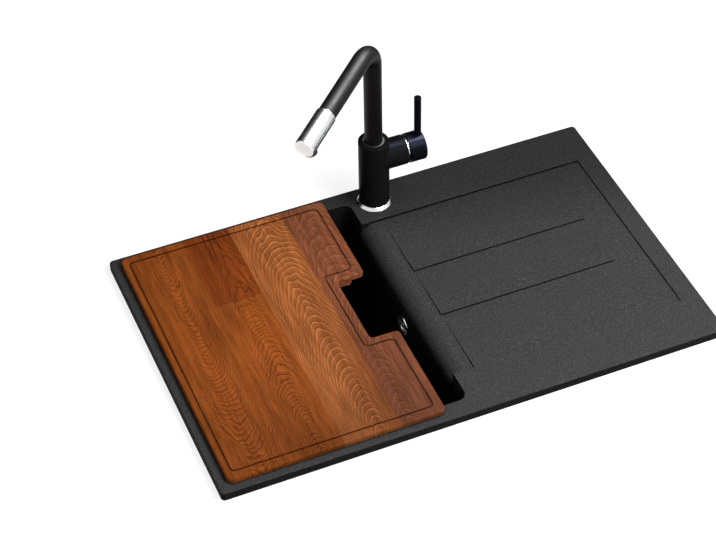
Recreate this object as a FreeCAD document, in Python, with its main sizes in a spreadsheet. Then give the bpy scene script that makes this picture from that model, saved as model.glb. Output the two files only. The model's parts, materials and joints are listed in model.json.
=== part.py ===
"""Inset composite sink: one bowl with a drainer, a wooden board over the bowl and a
mixer tap with a swivelling spout and a pull-out head.

Lengths are millimetres and angles degrees. The origin is the centre of the sink on the
worktop plane, on which the rim rests; X runs along the sink, Y to the back, Z up.
"""
import FreeCAD
import Part
import Sketcher
import os
import re

SIZES = {
    # casting: deck and rim
    "sink_length": 790.0,
    "sink_width": 500.0,
    "rim_height": 14.5,
    "sink_corner": 6.0,
    "rim_edge_round": 2.0,
    "rim_seat_width": 10.0,
    "register_depth": 5.0,
    "rib_width": 8.0,
    # casting: bowl
    "bowl_left_margin": 31.0,
    "bowl_length": 353.5,
    "bowl_side_margin": 28.0,
    "bowl_depth": 200.0,
    "bowl_taper": 12.0,
    "bowl_corner": 14.0,
    "bowl_floor_round": 11.0,
    "bowl_under_round": 18.0,
    "wall": 9.0,
    "floor_thickness": 14.0,
    "dish_radius": 130.0,
    "dish_depth": 3.0,
    # casting: drainer
    "drainer_side_margin": 79.0,
    "drainer_right_margin": 32.3,
    "drainer_far_depth": 2.4,
    "drainer_near_depth": 3.2,
    "nose_radius": 25.0,
    "lip_reach": 4.5,
    "lip_depth": 80.0,
    "terrace_setback": 33.7,
    "terrace_end_setback": 51.5,
    "terrace_height": 2.4,
    "terrace_tail": 2.0,
    "terrace_back_width": 123.9,
    "terrace_front_width": 117.2,
    # overflow
    "overflow_drop": 60.0,
    "overflow_hole_radius": 11.5,
    "overflow_boss_radius": 25.0,
    "overflow_boss_reach": 15.0,
    "rose_radius": 17.0,
    "rose_thickness": 3.0,
    "rose_bevel": 1.2,
    "rose_sleeve_radius": 11.0,
    "rose_sleeve_wall": 1.5,
    "rose_sleeve_length": 9.0,
    "rose_bar_width": 5.0,
    "rose_bar_thickness": 2.5,
    "overflow_screw_radius": 2.4,
    "overflow_screw_head_radius": 4.2,
    "overflow_screw_head": 2.2,
    "screw_crown_share": 0.75,
    "overflow_gasket_thickness": 2.5,
    "overflow_gasket_radius": 21.0,
    "elbow_flange_radius": 23.0,
    "elbow_flange": 4.0,
    "elbow_radius": 14.0,
    "elbow_wall": 2.2,
    "elbow_length": 32.0,
    "elbow_bridge": 5.0,
    "elbow_bridge_height": 6.5,
    "spigot_radius": 12.0,
    "spigot_drop": 34.0,
    "pipe_radius": 9.4,
    "pipe_wall": 1.6,
    "pipe_play": 0.1,
    "pipe_insert": 16.0,
    "pipe_bend_radius": 32.0,
    "pipe_nut_radius": 16.0,
    "pipe_nut_grip": 9.0,
    "pipe_nut_lip": 3.0,
    # waste
    "flange_radius": 56.0,
    "flange_sheet": 1.5,
    "flange_seal": 1.0,
    "flange_recess_play": 1.0,
    "drain_hole_radius": 45.5,
    "cup_radius": 42.0,
    "cup_depth": 38.0,
    "cup_mouth_radius": 45.1,
    "cup_mouth_depth": 10.0,
    "drain_slot_radius": 4.5,
    "drain_slot_circle": 22.0,
    "waste_gasket": 2.5,
    "waste_flange_radius": 57.0,
    "waste_flange": 5.0,
    "waste_cup_radius": 48.0,
    "waste_cup_wall": 3.0,
    "waste_cup_depth": 46.0,
    "waste_cone_depth": 9.0,
    "outlet_radius": 23.9,
    "outlet_wall": 3.4,
    "outlet_length": 28.0,
    "waste_bridge_width": 12.0,
    "waste_bridge_height": 7.0,
    "waste_bridge_gap": 1.0,
    "waste_screw_radius": 3.0,
    "waste_screw_head_radius": 5.5,
    "waste_screw_head": 3.0,
    "inlet_drop": 29.0,
    "inlet_reach": 84.0,
    # strainer basket
    "basket_radius": 38.0,
    "basket_rim_radius": 39.8,
    "basket_foot_radius": 34.2,
    "basket_heel": 3.8,
    "basket_wall": 1.0,
    "basket_height": 22.0,
    "basket_hole_radius": 2.6,
    "basket_hole_circle": 26.0,
    "basket_seal_radius": 32.0,
    "basket_seal_foot": 30.1,
    "basket_seal_bore": 9.0,
    "basket_seal": 4.5,
    "basket_rivet_radius": 2.4,
    "basket_post_radius": 3.5,
    "basket_post_height": 26.0,
    "basket_knob_radius": 10.0,
    "basket_knob_height": 8.0,
    "basket_knob_bevel": 2.0,
    # board
    "board_end_gap": 40.5,
    "board_bearing": 16.0,
    "board_play": 3.0,
    "board_lip": 8.6,
    "board_core": 8.6,
    "board_rebate": 19.0,
    "board_corner": 10.0,
    "board_edge_round": 2.4,
    "notch_width": 130.0,
    "notch_depth": 45.0,
    "notch_corner": 7.0,
    "juice_inset": 12.6,
    "juice_left_inset": 7.8,
    "juice_width": 3.4,
    "juice_depth": 1.8,
    "juice_corner": 5.0,
    # tap: foot and body
    "tap_setback": 39.5,
    "tap_back_margin": 35.0,
    "tap_hole_radius": 17.5,
    "base_radius": 28.0,
    "base_height": 5.0,
    "base_bevel": 1.2,
    "base_seal_inner": 20.0,
    "base_seal_outer": 26.0,
    "base_seal": 1.2,
    "body_radius": 24.0,
    "body_top": 124.0,
    "body_edge": 1.5,
    "shank_radius": 16.5,
    "shank_wall": 2.4,
    "shank_play": 0.3,
    "shank_socket": 14.0,
    "shank_below": 42.0,
    "rubber_washer": 3.0,
    "steel_washer": 2.0,
    "washer_radius": 22.0,
    "washer_room": 2.0,
    "lock_nut_radius": 22.5,
    "lock_nut_height": 10.0,
    "hose_way_radius": 6.5,
    "hose_way_offset": 6.0,
    "inlet_radius": 4.5,
    "inlet_depth": 13.0,
    "inlet_spread": 6.5,
    "inlet_offset": 5.5,
    # tap: mixer
    "boss_height": 88.7,
    "boss_radius": 23.5,
    "boss_end": 50.5,
    "boss_edge": 0.8,
    "cartridge_radius": 17.6,
    "cartridge_start": 20.0,
    "cartridge_end": 44.0,
    "cartridge_nut_radius": 19.6,
    "cartridge_nut_bore": 11.2,
    "trim_radius": 19.8,
    "trim_bore": 14.0,
    "trim_width": 3.8,
    "trim_bevel": 0.6,
    "rotor_radius": 10.4,
    "rotor_start": 30.0,
    "rotor_end": 46.0,
    "rotor_back": 3.0,
    "rotor_play": 0.08,
    "pivot_x": 40.0,
    "pivot_pin_radius": 1.5,
    "pivot_pin_length": 18.7,
    "pivot_play": 0.05,
    "stem_width": 8.0,
    "stem_tail": 4.0,
    "stem_end": 68.0,
    "stem_side_play": 0.3,
    "stem_seat_play": 0.05,
    "knob_start": 55.0,
    "knob_end": 81.0,
    "knob_radius": 23.5,
    "knob_cup_radius": 20.6,
    "knob_cup_floor": 62.0,
    "knob_bevel": 1.0,
    "rod_x": 73.4,
    "rod_radius": 5.7,
    "rod_foot": 8.0,
    "rod_top": 96.0,
    "rod_bevel": 0.6,
    "rod_play": 0.05,
    "grub_x": 65.0,
    "grub_radius": 2.0,
    "grub_recess": 1.0,
    # tap: spout
    "tube_radius": 14.0,
    "tube_wall": 1.8,
    "spout_height": 310.5,
    "spout_bend_radius": 32.0,
    "spout_foot": 77.0,
    "bore_floor": 74.0,
    "bush_radius": 17.0,
    "bush_foot": 81.0,
    "bush_play": 0.08,
    "bush_sink": 0.6,
    "ring_section": 1.1,
    "ring_low": 90.0,
    "ring_high": 111.0,
    "ring_play": 0.15,
    "retainer_radius": 16.2,
    "retainer_height": 3.0,
    "arm_length": 151.5,
    # tap: pull-out head
    "head_radius": 15.6,
    "head_gap": 0.5,
    "head_length": 69.0,
    "head_bevel": 1.2,
    "head_wall": 2.5,
    "head_collar": 14.0,
    "head_stem_radius": 10.4,
    "head_stem_wall": 2.4,
    "head_stem_length": 36.0,
    "guide_length": 32.0,
    "guide_play": 0.1,
    "aerator_radius": 10.5,
    "aerator_wall": 1.6,
    "aerator_from_end": 15.0,
    "aerator_top": 8.0,
    "aerator_bottom": 22.0,
    "aerator_insert": 6.0,
    "aerator_insert_recess": 1.5,
    "aerator_play": 0.05,
    "aerator_jet_radius": 1.2,
    "aerator_jet_circle": 5.2,
    # angles of the spout, in degrees
    "spout_azimuth": -139.0,
    "arm_slope": 8.0,
}

TURN_OF_BEND = "(90 + arm_slope)"
BOWL_LEFT = "(bowl_left_margin - sink_length / 2)"
BOWL_RIGHT = "(bowl_left_margin - sink_length / 2 + bowl_length)"
BOWL_WIDTH = "(sink_width - 2 * bowl_side_margin)"
BOWL_X = "(bowl_left_margin - sink_length / 2 + bowl_length / 2)"
LIP_X = f"({BOWL_RIGHT} - lip_reach)"
NOSE_X = f"({LIP_X} + nose_radius)"
DRAINER_RIGHT = "(sink_length / 2 - drainer_right_margin)"
DRAINER_WIDTH = "(sink_width - 2 * drainer_side_margin)"
TAP_X = f"({BOWL_RIGHT} + tap_setback)"
TAP_Y = "(sink_width / 2 - tap_back_margin)"
FLOOR_Z = "(rim_height - bowl_depth)"
DRAIN_Z = f"({FLOOR_Z} - dish_depth)"
OVERFLOW_Z = "(rim_height - overflow_drop)"

DOC = FreeCAD.newDocument("inset_sink")
SHEET = DOC.addObject("Spreadsheet::Sheet", "Sizes")
NODES = []
NUT_SIDES = 6
DRAIN_SLOTS = 8
BASKET_HOLES = 12
EDGE_SLACK_SHARE = 1e-4
WORD = re.compile(r"[a-z][a-z_]*")


def fill_sheet():
    """Write every size into the sheet under its own alias."""
    for row, (alias, number) in enumerate(SIZES.items(), start=1):
        SHEET.set(f"A{row}", alias)
        SHEET.set(f"B{row}", str(number))
        SHEET.setAlias(f"B{row}", alias)
    DOC.recompute()


def bound(text):
    """Return the expression with every size word pointing at its cell."""
    return WORD.sub(lambda m: f"Sizes.{m.group(0)}" if m.group(0) in SIZES else m.group(0), text)


def value(text):
    """Return what an expression of sizes comes to."""
    return float(SHEET.evalExpression(bound(text)))


def drive(target, name, text):
    """Bind one property of an object to an expression of sizes."""
    target.setExpression(name, bound(text))


def part(label, at=("0", "0", "0"), turn=(0, 0, 0)):
    """Start a sub-part whose own frame stands at the given place.

    turn is yaw, pitch and roll of that frame.
    """
    body = DOC.addObject("PartDesign::Body", label)
    body.Label = label
    body.Placement = FreeCAD.Placement(FreeCAD.Vector(), FreeCAD.Rotation(*turn))
    for axis, text in zip("xyz", at):
        drive(body, f"Placement.Base.{axis}", text)
    NODES.append(body)
    return body


def new_sketch(body, role, lift="0"):
    """Return an empty sketch on a plane of the body, lifted along the plane's normal."""
    plane = next(item for item in body.Origin.OriginFeatures if item.Role == role)
    sketch = body.newObject("Sketcher::SketchObject", "outline")
    sketch.AttachmentSupport = (plane, [""])
    sketch.MapMode = "FlatFace"
    drive(sketch, "AttachmentOffset.Base.z", lift)
    return sketch


def hold(sketch, kind, *where):
    """Add a constraint whose last argument, an expression, drives its value."""
    *geometry, text = where
    index = sketch.addConstraint(Sketcher.Constraint(kind, *geometry, value(text)))
    drive(sketch, f"Constraints[{index}]", text)


def pin_point(sketch, line, end, across, up):
    """Fix a point by its two distances from the origin of the sketch."""
    for kind, text, axis in (("DistanceX", across, -2), ("DistanceY", up, -1)):
        if text == "0":
            sketch.addConstraint(Sketcher.Constraint("PointOnObject", line, end, axis))
        else:
            hold(sketch, kind, line, end, text)


def polygon(sketch, corners):
    """Draw a closed outline of straight lines through corners given as expressions."""
    points = [FreeCAD.Vector(value(a), value(b), 0) for a, b in corners]
    first = sketch.GeometryCount
    count = len(points)
    for i, point in enumerate(points):
        sketch.addGeometry(Part.LineSegment(point, points[(i + 1) % count]))
    for i, (across, up) in enumerate(corners):
        sketch.addConstraint(Sketcher.Constraint("Coincident", first + i, 2, first + (i + 1) % count, 1))
        pin_point(sketch, first + i, 1, across, up)
    return sketch


def rounded(sketch, corners):
    """Draw a closed outline of level and upright lines with rounded corners.

    Each corner is its two coordinates and its radius, in counter-clockwise order.
    """
    count = len(corners)
    points = [FreeCAD.Vector(value(a), value(b), 0) for a, b, _ in corners]
    radii = [value(r) for _, _, r in corners]
    ways = [(points[(i + 1) % count] - points[i]).normalize() for i in range(count)]
    first = sketch.GeometryCount
    for i in range(count):
        start = points[i] + ways[i] * radii[i]
        stop = points[(i + 1) % count] - ways[i] * radii[(i + 1) % count]
        sketch.addGeometry(Part.LineSegment(start, stop))
    left_turns = []
    for i in range(count):
        before, after = ways[i - 1], ways[i]
        left = before.cross(after).z > 0
        left_turns.append(left)
        begin = points[i] - before * radii[i]
        end = points[i] + after * radii[i]
        middle = points[i] + (after - before) * radii[i]
        begin, end = (begin, end) if left else (end, begin)
        spoke = begin - middle
        angle = FreeCAD.Vector(1, 0, 0).getAngle(spoke)
        angle = angle if spoke.y >= 0 else -angle
        quarter = FreeCAD.Vector(1, 0, 0).getAngle(FreeCAD.Vector(0, 1, 0))
        circle = Part.Circle(middle, FreeCAD.Vector(0, 0, 1), radii[i])
        sketch.addGeometry(Part.ArcOfCircle(circle, angle, angle + quarter))
    for i in range(count):
        arc = first + count + i
        near, far = (1, 2) if left_turns[i] else (2, 1)
        sketch.addConstraint(Sketcher.Constraint("Tangent", first + (i - 1) % count, 2, arc, near))
        sketch.addConstraint(Sketcher.Constraint("Tangent", first + i, 1, arc, far))
        level = abs(ways[i].y) < abs(ways[i].x)
        sketch.addConstraint(Sketcher.Constraint("Horizontal" if level else "Vertical", first + i))
    for i, (across, up, radius) in enumerate(corners):
        level = abs(ways[i].y) < abs(ways[i].x)
        hold(sketch, "DistanceY" if level else "DistanceX", first + i, 1, up if level else across)
        hold(sketch, "Radius", first + count + i, radius)
    return sketch


def box_corners(left, right, front, back, radius):
    """Return the four rounded corners of an upright box outline."""
    return [(left, front, radius), (right, front, radius), (right, back, radius), (left, back, radius)]


def ring(sketch, radius, across="0", up="0"):
    """Draw a circle about a point of the sketch."""
    centre = FreeCAD.Vector(value(across), value(up), 0)
    index = sketch.addGeometry(Part.Circle(centre, FreeCAD.Vector(0, 0, 1), value(radius)))
    pin_point(sketch, index, 3, across, up)
    hold(sketch, "Radius", index, radius)
    return sketch


def extrude(body, sketch, length, cut=False, way="ahead"):
    """Pad a sketch along its normal or pocket it against that.

    way turns it back the other way, or spreads it both ways alike.
    """
    feature = body.newObject("PartDesign::Pocket" if cut else "PartDesign::Pad", "extent")
    feature.Profile = sketch
    drive(feature, "Length", length)
    if way == "both":
        feature.SideType = "Symmetric"
    feature.Reversed = way == "back"
    DOC.recompute()
    return feature


def revolve(body, corners, axis="V_Axis", cut=False):
    """Turn an outline in the upright plane about one of its own axes."""
    sketch = polygon(new_sketch(body, "XZ_Plane"), corners)
    feature = body.newObject("PartDesign::Groove" if cut else "PartDesign::Revolution", "turned")
    feature.Profile = sketch
    feature.ReferenceAxis = (sketch, [axis])
    feature.Angle = 360
    DOC.recompute()
    return feature


def loft(body, first, last, cut=False):
    """Join two sketches by straight flanks."""
    feature = body.newObject("PartDesign::SubtractiveLoft" if cut else "PartDesign::AdditiveLoft", "flanks")
    feature.Profile = first
    feature.Sections = [last]
    feature.Ruled = True
    DOC.recompute()
    return feature


TURNS = {
    "z": FreeCAD.Rotation(),
    "-z": FreeCAD.Rotation(FreeCAD.Vector(1, 0, 0), 180),
    "x": FreeCAD.Rotation(FreeCAD.Vector(0, 1, 0), 90),
    "y": FreeCAD.Rotation(FreeCAD.Vector(1, 0, 0), -90),
}


def solid(body, kind, at, way="z", cut=False, **lengths):
    """Add or cut a plain cylinder, cone or box whose foot stands at a point."""
    feature = body.newObject(f"PartDesign::{'Subtractive' if cut else 'Additive'}{kind}", kind.lower())
    plane = next(item for item in body.Origin.OriginFeatures if item.Role == "XY_Plane")
    feature.AttachmentSupport = (plane, [""])
    feature.MapMode = "FlatFace"
    feature.AttachmentOffset = FreeCAD.Placement(FreeCAD.Vector(), TURNS[way])
    for axis, text in zip("xyz", at):
        drive(feature, f"AttachmentOffset.Base.{axis}", text)
    for name, text in lengths.items():
        drive(feature, name, text)
    DOC.recompute()
    return feature


def round_edges(body, radius, chosen):
    """Round the edges of the body so far that the chosen test picks."""
    tip = body.Tip
    names = [f"Edge{i}" for i, edge in enumerate(tip.Shape.Edges, start=1) if chosen(edge)]
    feature = body.newObject("PartDesign::Fillet", "rounding")
    feature.Base = (tip, names)
    drive(feature, "Radius", radius)
    DOC.recompute()
    return feature


def repeat_round(body, feature, count):
    """Repeat a feature evenly about the upright axis of its body."""
    pattern = body.newObject("PartDesign::PolarPattern", "circle_of")
    pattern.Originals = [feature]
    axis = next(item for item in body.Origin.OriginFeatures if item.Role == "Z_Axis")
    pattern.Axis = (axis, [""])
    pattern.Angle = 360
    pattern.Occurrences = count
    body.Tip = pattern
    DOC.recompute()
    return pattern


def level_edge(height):
    """Return a test for edges that lie at one height."""
    z = value(height)
    slack = value("rim_height") * EDGE_SLACK_SHARE
    return lambda edge: all(abs(v.Z - z) < slack for v in edge.Vertexes)


def floor_height(x):
    """Return the expression for the height of the drainer floor at a given place."""
    rise = "(drainer_near_depth - drainer_far_depth)"
    return f"(rim_height - drainer_near_depth + {rise} * ({x} - {NOSE_X}) / ({DRAINER_RIGHT} - {NOSE_X}))"


def make_basin():
    """Casting: deck, rim, bowl, sloped drainer with three tilted terraces, and its holes."""
    body = part("basin")
    half_length, half_width = "sink_length / 2", "sink_width / 2"
    deck = rounded(new_sketch(body, "XY_Plane"),
                   box_corners(f"-{half_length}", half_length, f"-{half_width}", half_width, "sink_corner"))
    extrude(body, deck, "rim_height")
    round_edges(body, "rim_edge_round", level_edge("rim_height"))

    inner = new_sketch(body, "XY_Plane")
    for inset, corner in (("rim_seat_width", "sink_corner"),
                          ("(rim_seat_width + rib_width)", "sink_corner")):
        rounded(inner, box_corners(f"-({half_length} - {inset})", f"{half_length} - {inset}",
                                   f"-({half_width} - {inset})", f"{half_width} - {inset}", corner))
    extrude(body, inner, "register_depth", way="back")
    for side in ("-", "+"):
        solid(body, "Box", (BOWL_RIGHT, f"0 {side} {DRAINER_WIDTH} / 4 - rib_width / 2", "-register_depth"),
              Length=f"{half_length} - rim_seat_width - rib_width / 2 - {BOWL_RIGHT}",
              Width="rib_width", Height="register_depth + rim_height / 4")

    outer = [rounded(new_sketch(body, "XY_Plane", height),
                     box_corners(f"{BOWL_LEFT} - wall + {inset}", f"{BOWL_RIGHT} + wall - {inset}",
                                 f"-({BOWL_WIDTH} / 2 + wall - {inset})",
                                 f"{BOWL_WIDTH} / 2 + wall - {inset}",
                                 "bowl_corner + wall"))
             for height, inset in (("rim_height / 2", "0"),
                                   (f"{FLOOR_Z} - floor_thickness", "bowl_taper"))]
    loft(body, *outer)
    round_edges(body, "bowl_under_round", level_edge(f"{FLOOR_Z} - floor_thickness"))
    cavity = [rounded(new_sketch(body, "XY_Plane", height),
                      box_corners(f"{BOWL_LEFT} + {inset}", f"{BOWL_RIGHT} - {inset}",
                                  f"-({BOWL_WIDTH} / 2 - {inset})", f"{BOWL_WIDTH} / 2 - {inset}",
                                  "bowl_corner"))
              for height, inset in (("rim_height", "0"), (FLOOR_Z, "bowl_taper"))]
    loft(body, *cavity, cut=True)
    round_edges(body, "bowl_floor_round", level_edge(FLOOR_Z))

    solid(body, "Box", (LIP_X, f"-{DRAINER_WIDTH} / 2", "rim_height - lip_depth"),
          Length="lip_reach + wall / 2", Width=DRAINER_WIDTH, Height="lip_depth")
    solid(body, "Cylinder", (f"{LIP_X} + wall / 4", "0", OVERFLOW_Z), way="x",
          Radius="overflow_boss_radius", Height="overflow_boss_reach - wall / 4")
    fall = new_sketch(body, "XZ_Plane")
    water_path(fall)
    extrude(body, fall, DRAINER_WIDTH, cut=True, way="both")
    terraces(body)

    solid(body, "Cone", (BOWL_X, "0", DRAIN_Z), cut=True,
          Radius1="flange_radius", Radius2="dish_radius", Height="dish_depth")
    solid(body, "Cylinder", (BOWL_X, "0", f"{DRAIN_Z} - flange_sheet - flange_seal"), cut=True,
          Radius="flange_radius + flange_recess_play", Height="flange_sheet + flange_seal + dish_depth")
    solid(body, "Cylinder", (BOWL_X, "0", f"{FLOOR_Z} - 2 * floor_thickness"), cut=True,
          Radius="drain_hole_radius", Height="3 * floor_thickness")
    solid(body, "Cylinder", (f"{LIP_X} - wall", "0", OVERFLOW_Z), way="x", cut=True,
          Radius="overflow_hole_radius", Height="2 * wall + overflow_boss_reach")
    solid(body, "Cylinder", (TAP_X, TAP_Y, "-rim_height"), cut=True,
          Radius="tap_hole_radius", Height="3 * rim_height")
    solid(body, "Cylinder", (TAP_X, TAP_Y, "-rim_height"), cut=True,
          Radius="washer_radius + washer_room", Height="rim_height")


def water_path(sketch):
    """Draw what is cut above the drainer floor and over the rounded edge into the bowl."""
    over = "(rim_height * 2)"
    near = "(rim_height - drainer_near_depth)"
    low = f"({near} - nose_radius)"
    away = f"({LIP_X} - wall)"
    corners = [(DRAINER_RIGHT, over), (away, over), (away, low), (LIP_X, low), (NOSE_X, near),
               (DRAINER_RIGHT, "rim_height - drainer_far_depth")]
    points = [FreeCAD.Vector(value(a), value(b), 0) for a, b in corners]
    middle = FreeCAD.Vector(points[4].x, points[3].y, 0)
    turn = FreeCAD.Vector(1, 0, 0).getAngle(FreeCAD.Vector(0, 1, 0))
    circle = Part.Circle(middle, FreeCAD.Vector(0, 0, 1), value("nose_radius"))
    for i in (0, 1, 2):
        sketch.addGeometry(Part.LineSegment(points[i], points[i + 1]))
    sketch.addGeometry(Part.ArcOfCircle(circle, turn, 2 * turn))
    sketch.addGeometry(Part.LineSegment(points[4], points[5]))
    sketch.addGeometry(Part.LineSegment(points[5], points[0]))
    meetings = ((0, 2, 1, 1), (1, 2, 2, 1), (2, 2, 3, 2), (3, 1, 4, 1), (4, 2, 5, 1), (5, 2, 0, 1))
    for one, end, two, start in meetings:
        sketch.addConstraint(Sketcher.Constraint("Coincident", one, end, two, start))
    for line, corner in ((0, 0), (1, 1), (2, 2), (4, 4), (5, 5)):
        pin_point(sketch, line, 1, *corners[corner])
    pin_point(sketch, 2, 2, *corners[3])
    hold(sketch, "Radius", 3, "nose_radius")


def terraces(body):
    """Three tilted pads on the drainer floor, each rising to a step at its front."""
    left = f"({BOWL_RIGHT} + terrace_setback)"
    right = f"({DRAINER_RIGHT} - terrace_end_setback)"
    side = f"({DRAINER_WIDTH} / 2)"
    lines = (side, f"({side} - terrace_back_width)", f"(terrace_front_width - {side})", f"(0 - {side})")
    for back, front in zip(lines, lines[1:]):
        ends = []
        for x, height in ((left, "terrace_height"), (right, "terrace_tail")):
            base = floor_height(x)
            under = f"{base} - terrace_height"
            ends.append(polygon(new_sketch(body, "YZ_Plane", x),
                                [(back, under), (back, base), (front, f"{base} + {height}"),
                                 (front, under)]))
        loft(body, *ends)


def make_overflow():
    """Overflow: rose in the bowl, its screw, the gasket and elbow behind the wall, and the pipe."""
    face = (LIP_X, "0", OVERFLOW_Z)
    rose = part("overflow_rose", face)
    revolve(rose, [("0 - rose_thickness", "rose_sleeve_radius - rose_sleeve_wall"),
                   ("0 - rose_thickness", "rose_radius - rose_bevel"),
                   ("rose_bevel - rose_thickness", "rose_radius"), ("0", "rose_radius"),
                   ("0", "rose_sleeve_radius"), ("rose_sleeve_length", "rose_sleeve_radius"),
                   ("rose_sleeve_length", "rose_sleeve_radius - rose_sleeve_wall")], "H_Axis")
    solid(rose, "Box", ("0", "rose_sleeve_wall / 2 - rose_sleeve_radius", "-rose_bar_width / 2"),
          Length="rose_bar_thickness", Width="2 * rose_sleeve_radius - rose_sleeve_wall",
          Height="rose_bar_width")
    solid(rose, "Cylinder", ("0", "0", "0"), way="x", Radius="overflow_screw_head_radius",
          Height="rose_bar_thickness")
    solid(rose, "Cylinder", ("-rose_bar_thickness", "0", "0"), way="x", cut=True,
          Radius="overflow_screw_radius", Height="3 * rose_bar_thickness")

    bridge = "(overflow_boss_reach + overflow_gasket_thickness + elbow_flange)"
    screw = part("overflow_screw", face)
    revolve(screw, [("0 - overflow_screw_head", "0"),
                    ("0 - overflow_screw_head", "overflow_screw_head_radius * screw_crown_share"),
                    ("0 - overflow_screw_head / 2", "overflow_screw_head_radius"),
                    ("0", "overflow_screw_head_radius"), ("0", "overflow_screw_radius"),
                    (f"{bridge} + elbow_bridge", "overflow_screw_radius"),
                    (f"{bridge} + elbow_bridge", "0")], "H_Axis")

    gasket = part("overflow_gasket", face)
    gasket_end = "overflow_boss_reach + overflow_gasket_thickness"
    revolve(gasket, [("overflow_boss_reach", "overflow_hole_radius"),
                     ("overflow_boss_reach", "overflow_gasket_radius"),
                     (gasket_end, "overflow_gasket_radius"), (gasket_end, "overflow_hole_radius")],
                     "H_Axis")

    elbow = part("overflow_elbow", face)
    start = "(overflow_boss_reach + overflow_gasket_thickness)"
    end = f"({start} + elbow_length)"
    inner = "(elbow_radius - elbow_wall)"
    spigot_x = f"({end} - elbow_radius)"
    step = f"({start} + elbow_flange)"
    revolve(elbow, [(start, "0"), (start, "elbow_flange_radius"), (step, "elbow_flange_radius"),
                    (step, "elbow_radius"), (end, "elbow_radius"), (end, "0")], "H_Axis")
    solid(elbow, "Cylinder", (spigot_x, "0", "0"), way="-z", Radius="spigot_radius", Height="spigot_drop")
    solid(elbow, "Cylinder", (start, "0", "0"), way="x", cut=True, Radius=inner,
          Height="elbow_length - elbow_wall")
    solid(elbow, "Cylinder", (spigot_x, "0", "0"), way="-z", cut=True, Radius="pipe_radius + pipe_play",
          Height="2 * spigot_drop")
    solid(elbow, "Box", (bridge, f"-{inner} - elbow_wall / 2", "-elbow_bridge_height / 2"),
          Length="elbow_bridge", Width=f"2 * {inner} + elbow_wall", Height="elbow_bridge_height")
    solid(elbow, "Cylinder", (start, "0", "0"), way="x", cut=True, Radius="overflow_screw_radius",
          Height="elbow_length - elbow_wall")

    pipe_x = f"({LIP_X} + {spigot_x})"
    inlet_x = f"({BOWL_X} + inlet_reach)"
    inlet_z = f"({DRAIN_Z} - inlet_drop)"
    spigot_z = f"({OVERFLOW_Z} - spigot_drop)"
    pipe = part("overflow_pipe", (pipe_x, "0", inlet_z))
    path = new_sketch(pipe, "XZ_Plane")
    top = f"({spigot_z} + pipe_insert - {inlet_z})"
    tail = f"({inlet_x} - pipe_insert - {pipe_x})"
    points = [("0", top), ("0", "pipe_bend_radius"), ("0 - pipe_bend_radius", "0"), (tail, "0")]
    bent_path(path, points, FreeCAD.Vector(-value("pipe_bend_radius"), value("pipe_bend_radius"), 0), -1)
    mouth = new_sketch(pipe, "XY_Plane", top)
    ring(mouth, "pipe_radius")
    ring(mouth, "pipe_radius - pipe_wall")
    sweep(pipe, mouth, path)

    nut = [("pipe_radius + pipe_play", "0 - pipe_nut_lip"), ("pipe_nut_radius", "0 - pipe_nut_lip"),
           ("pipe_nut_radius", "pipe_nut_grip"), ("spigot_radius", "pipe_nut_grip"), ("spigot_radius", "0"),
           ("pipe_radius + pipe_play", "0")]
    revolve(part("pipe_nut_upper", (pipe_x, "0", spigot_z)), nut)
    revolve(part("pipe_nut_lower", (inlet_x, "0", inlet_z), (0, -90, 0)), nut)


def bent_path(sketch, points, middle, sense):
    """Draw a path of a line, a tangent arc and a line through four points."""
    spots = [FreeCAD.Vector(value(a), value(b), 0) for a, b in points]
    radius = (spots[1] - middle).Length
    x_way = FreeCAD.Vector(1, 0, 0)

    def heading(spot):
        spoke = spot - middle
        return x_way.getAngle(spoke) * (1 if spoke.y >= 0 else -1)

    first, last = (spots[1], spots[2]) if sense > 0 else (spots[2], spots[1])
    circle = Part.Circle(middle, FreeCAD.Vector(0, 0, 1), radius)
    sketch.addGeometry(Part.LineSegment(spots[0], spots[1]))
    sketch.addGeometry(Part.ArcOfCircle(circle, heading(first), heading(last)))
    sketch.addGeometry(Part.LineSegment(spots[2], spots[3]))
    near, far = (1, 2) if sense > 0 else (2, 1)
    sketch.addConstraint(Sketcher.Constraint("Tangent", 0, 2, 1, near))
    sketch.addConstraint(Sketcher.Constraint("Coincident", 1, far, 2, 1))
    pin_point(sketch, 0, 1, *points[0])
    pin_point(sketch, 0, 2, *points[1])
    pin_point(sketch, 2, 1, *points[2])
    pin_point(sketch, 2, 2, *points[3])


def sweep(body, profile, path):
    """Carry a profile along a path."""
    feature = body.newObject("PartDesign::AdditivePipe", "run")
    feature.Profile = profile
    feature.Spine = (path, [f"Edge{i}" for i in range(1, len(path.Shape.Edges) + 1)])
    DOC.recompute()
    return feature


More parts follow.
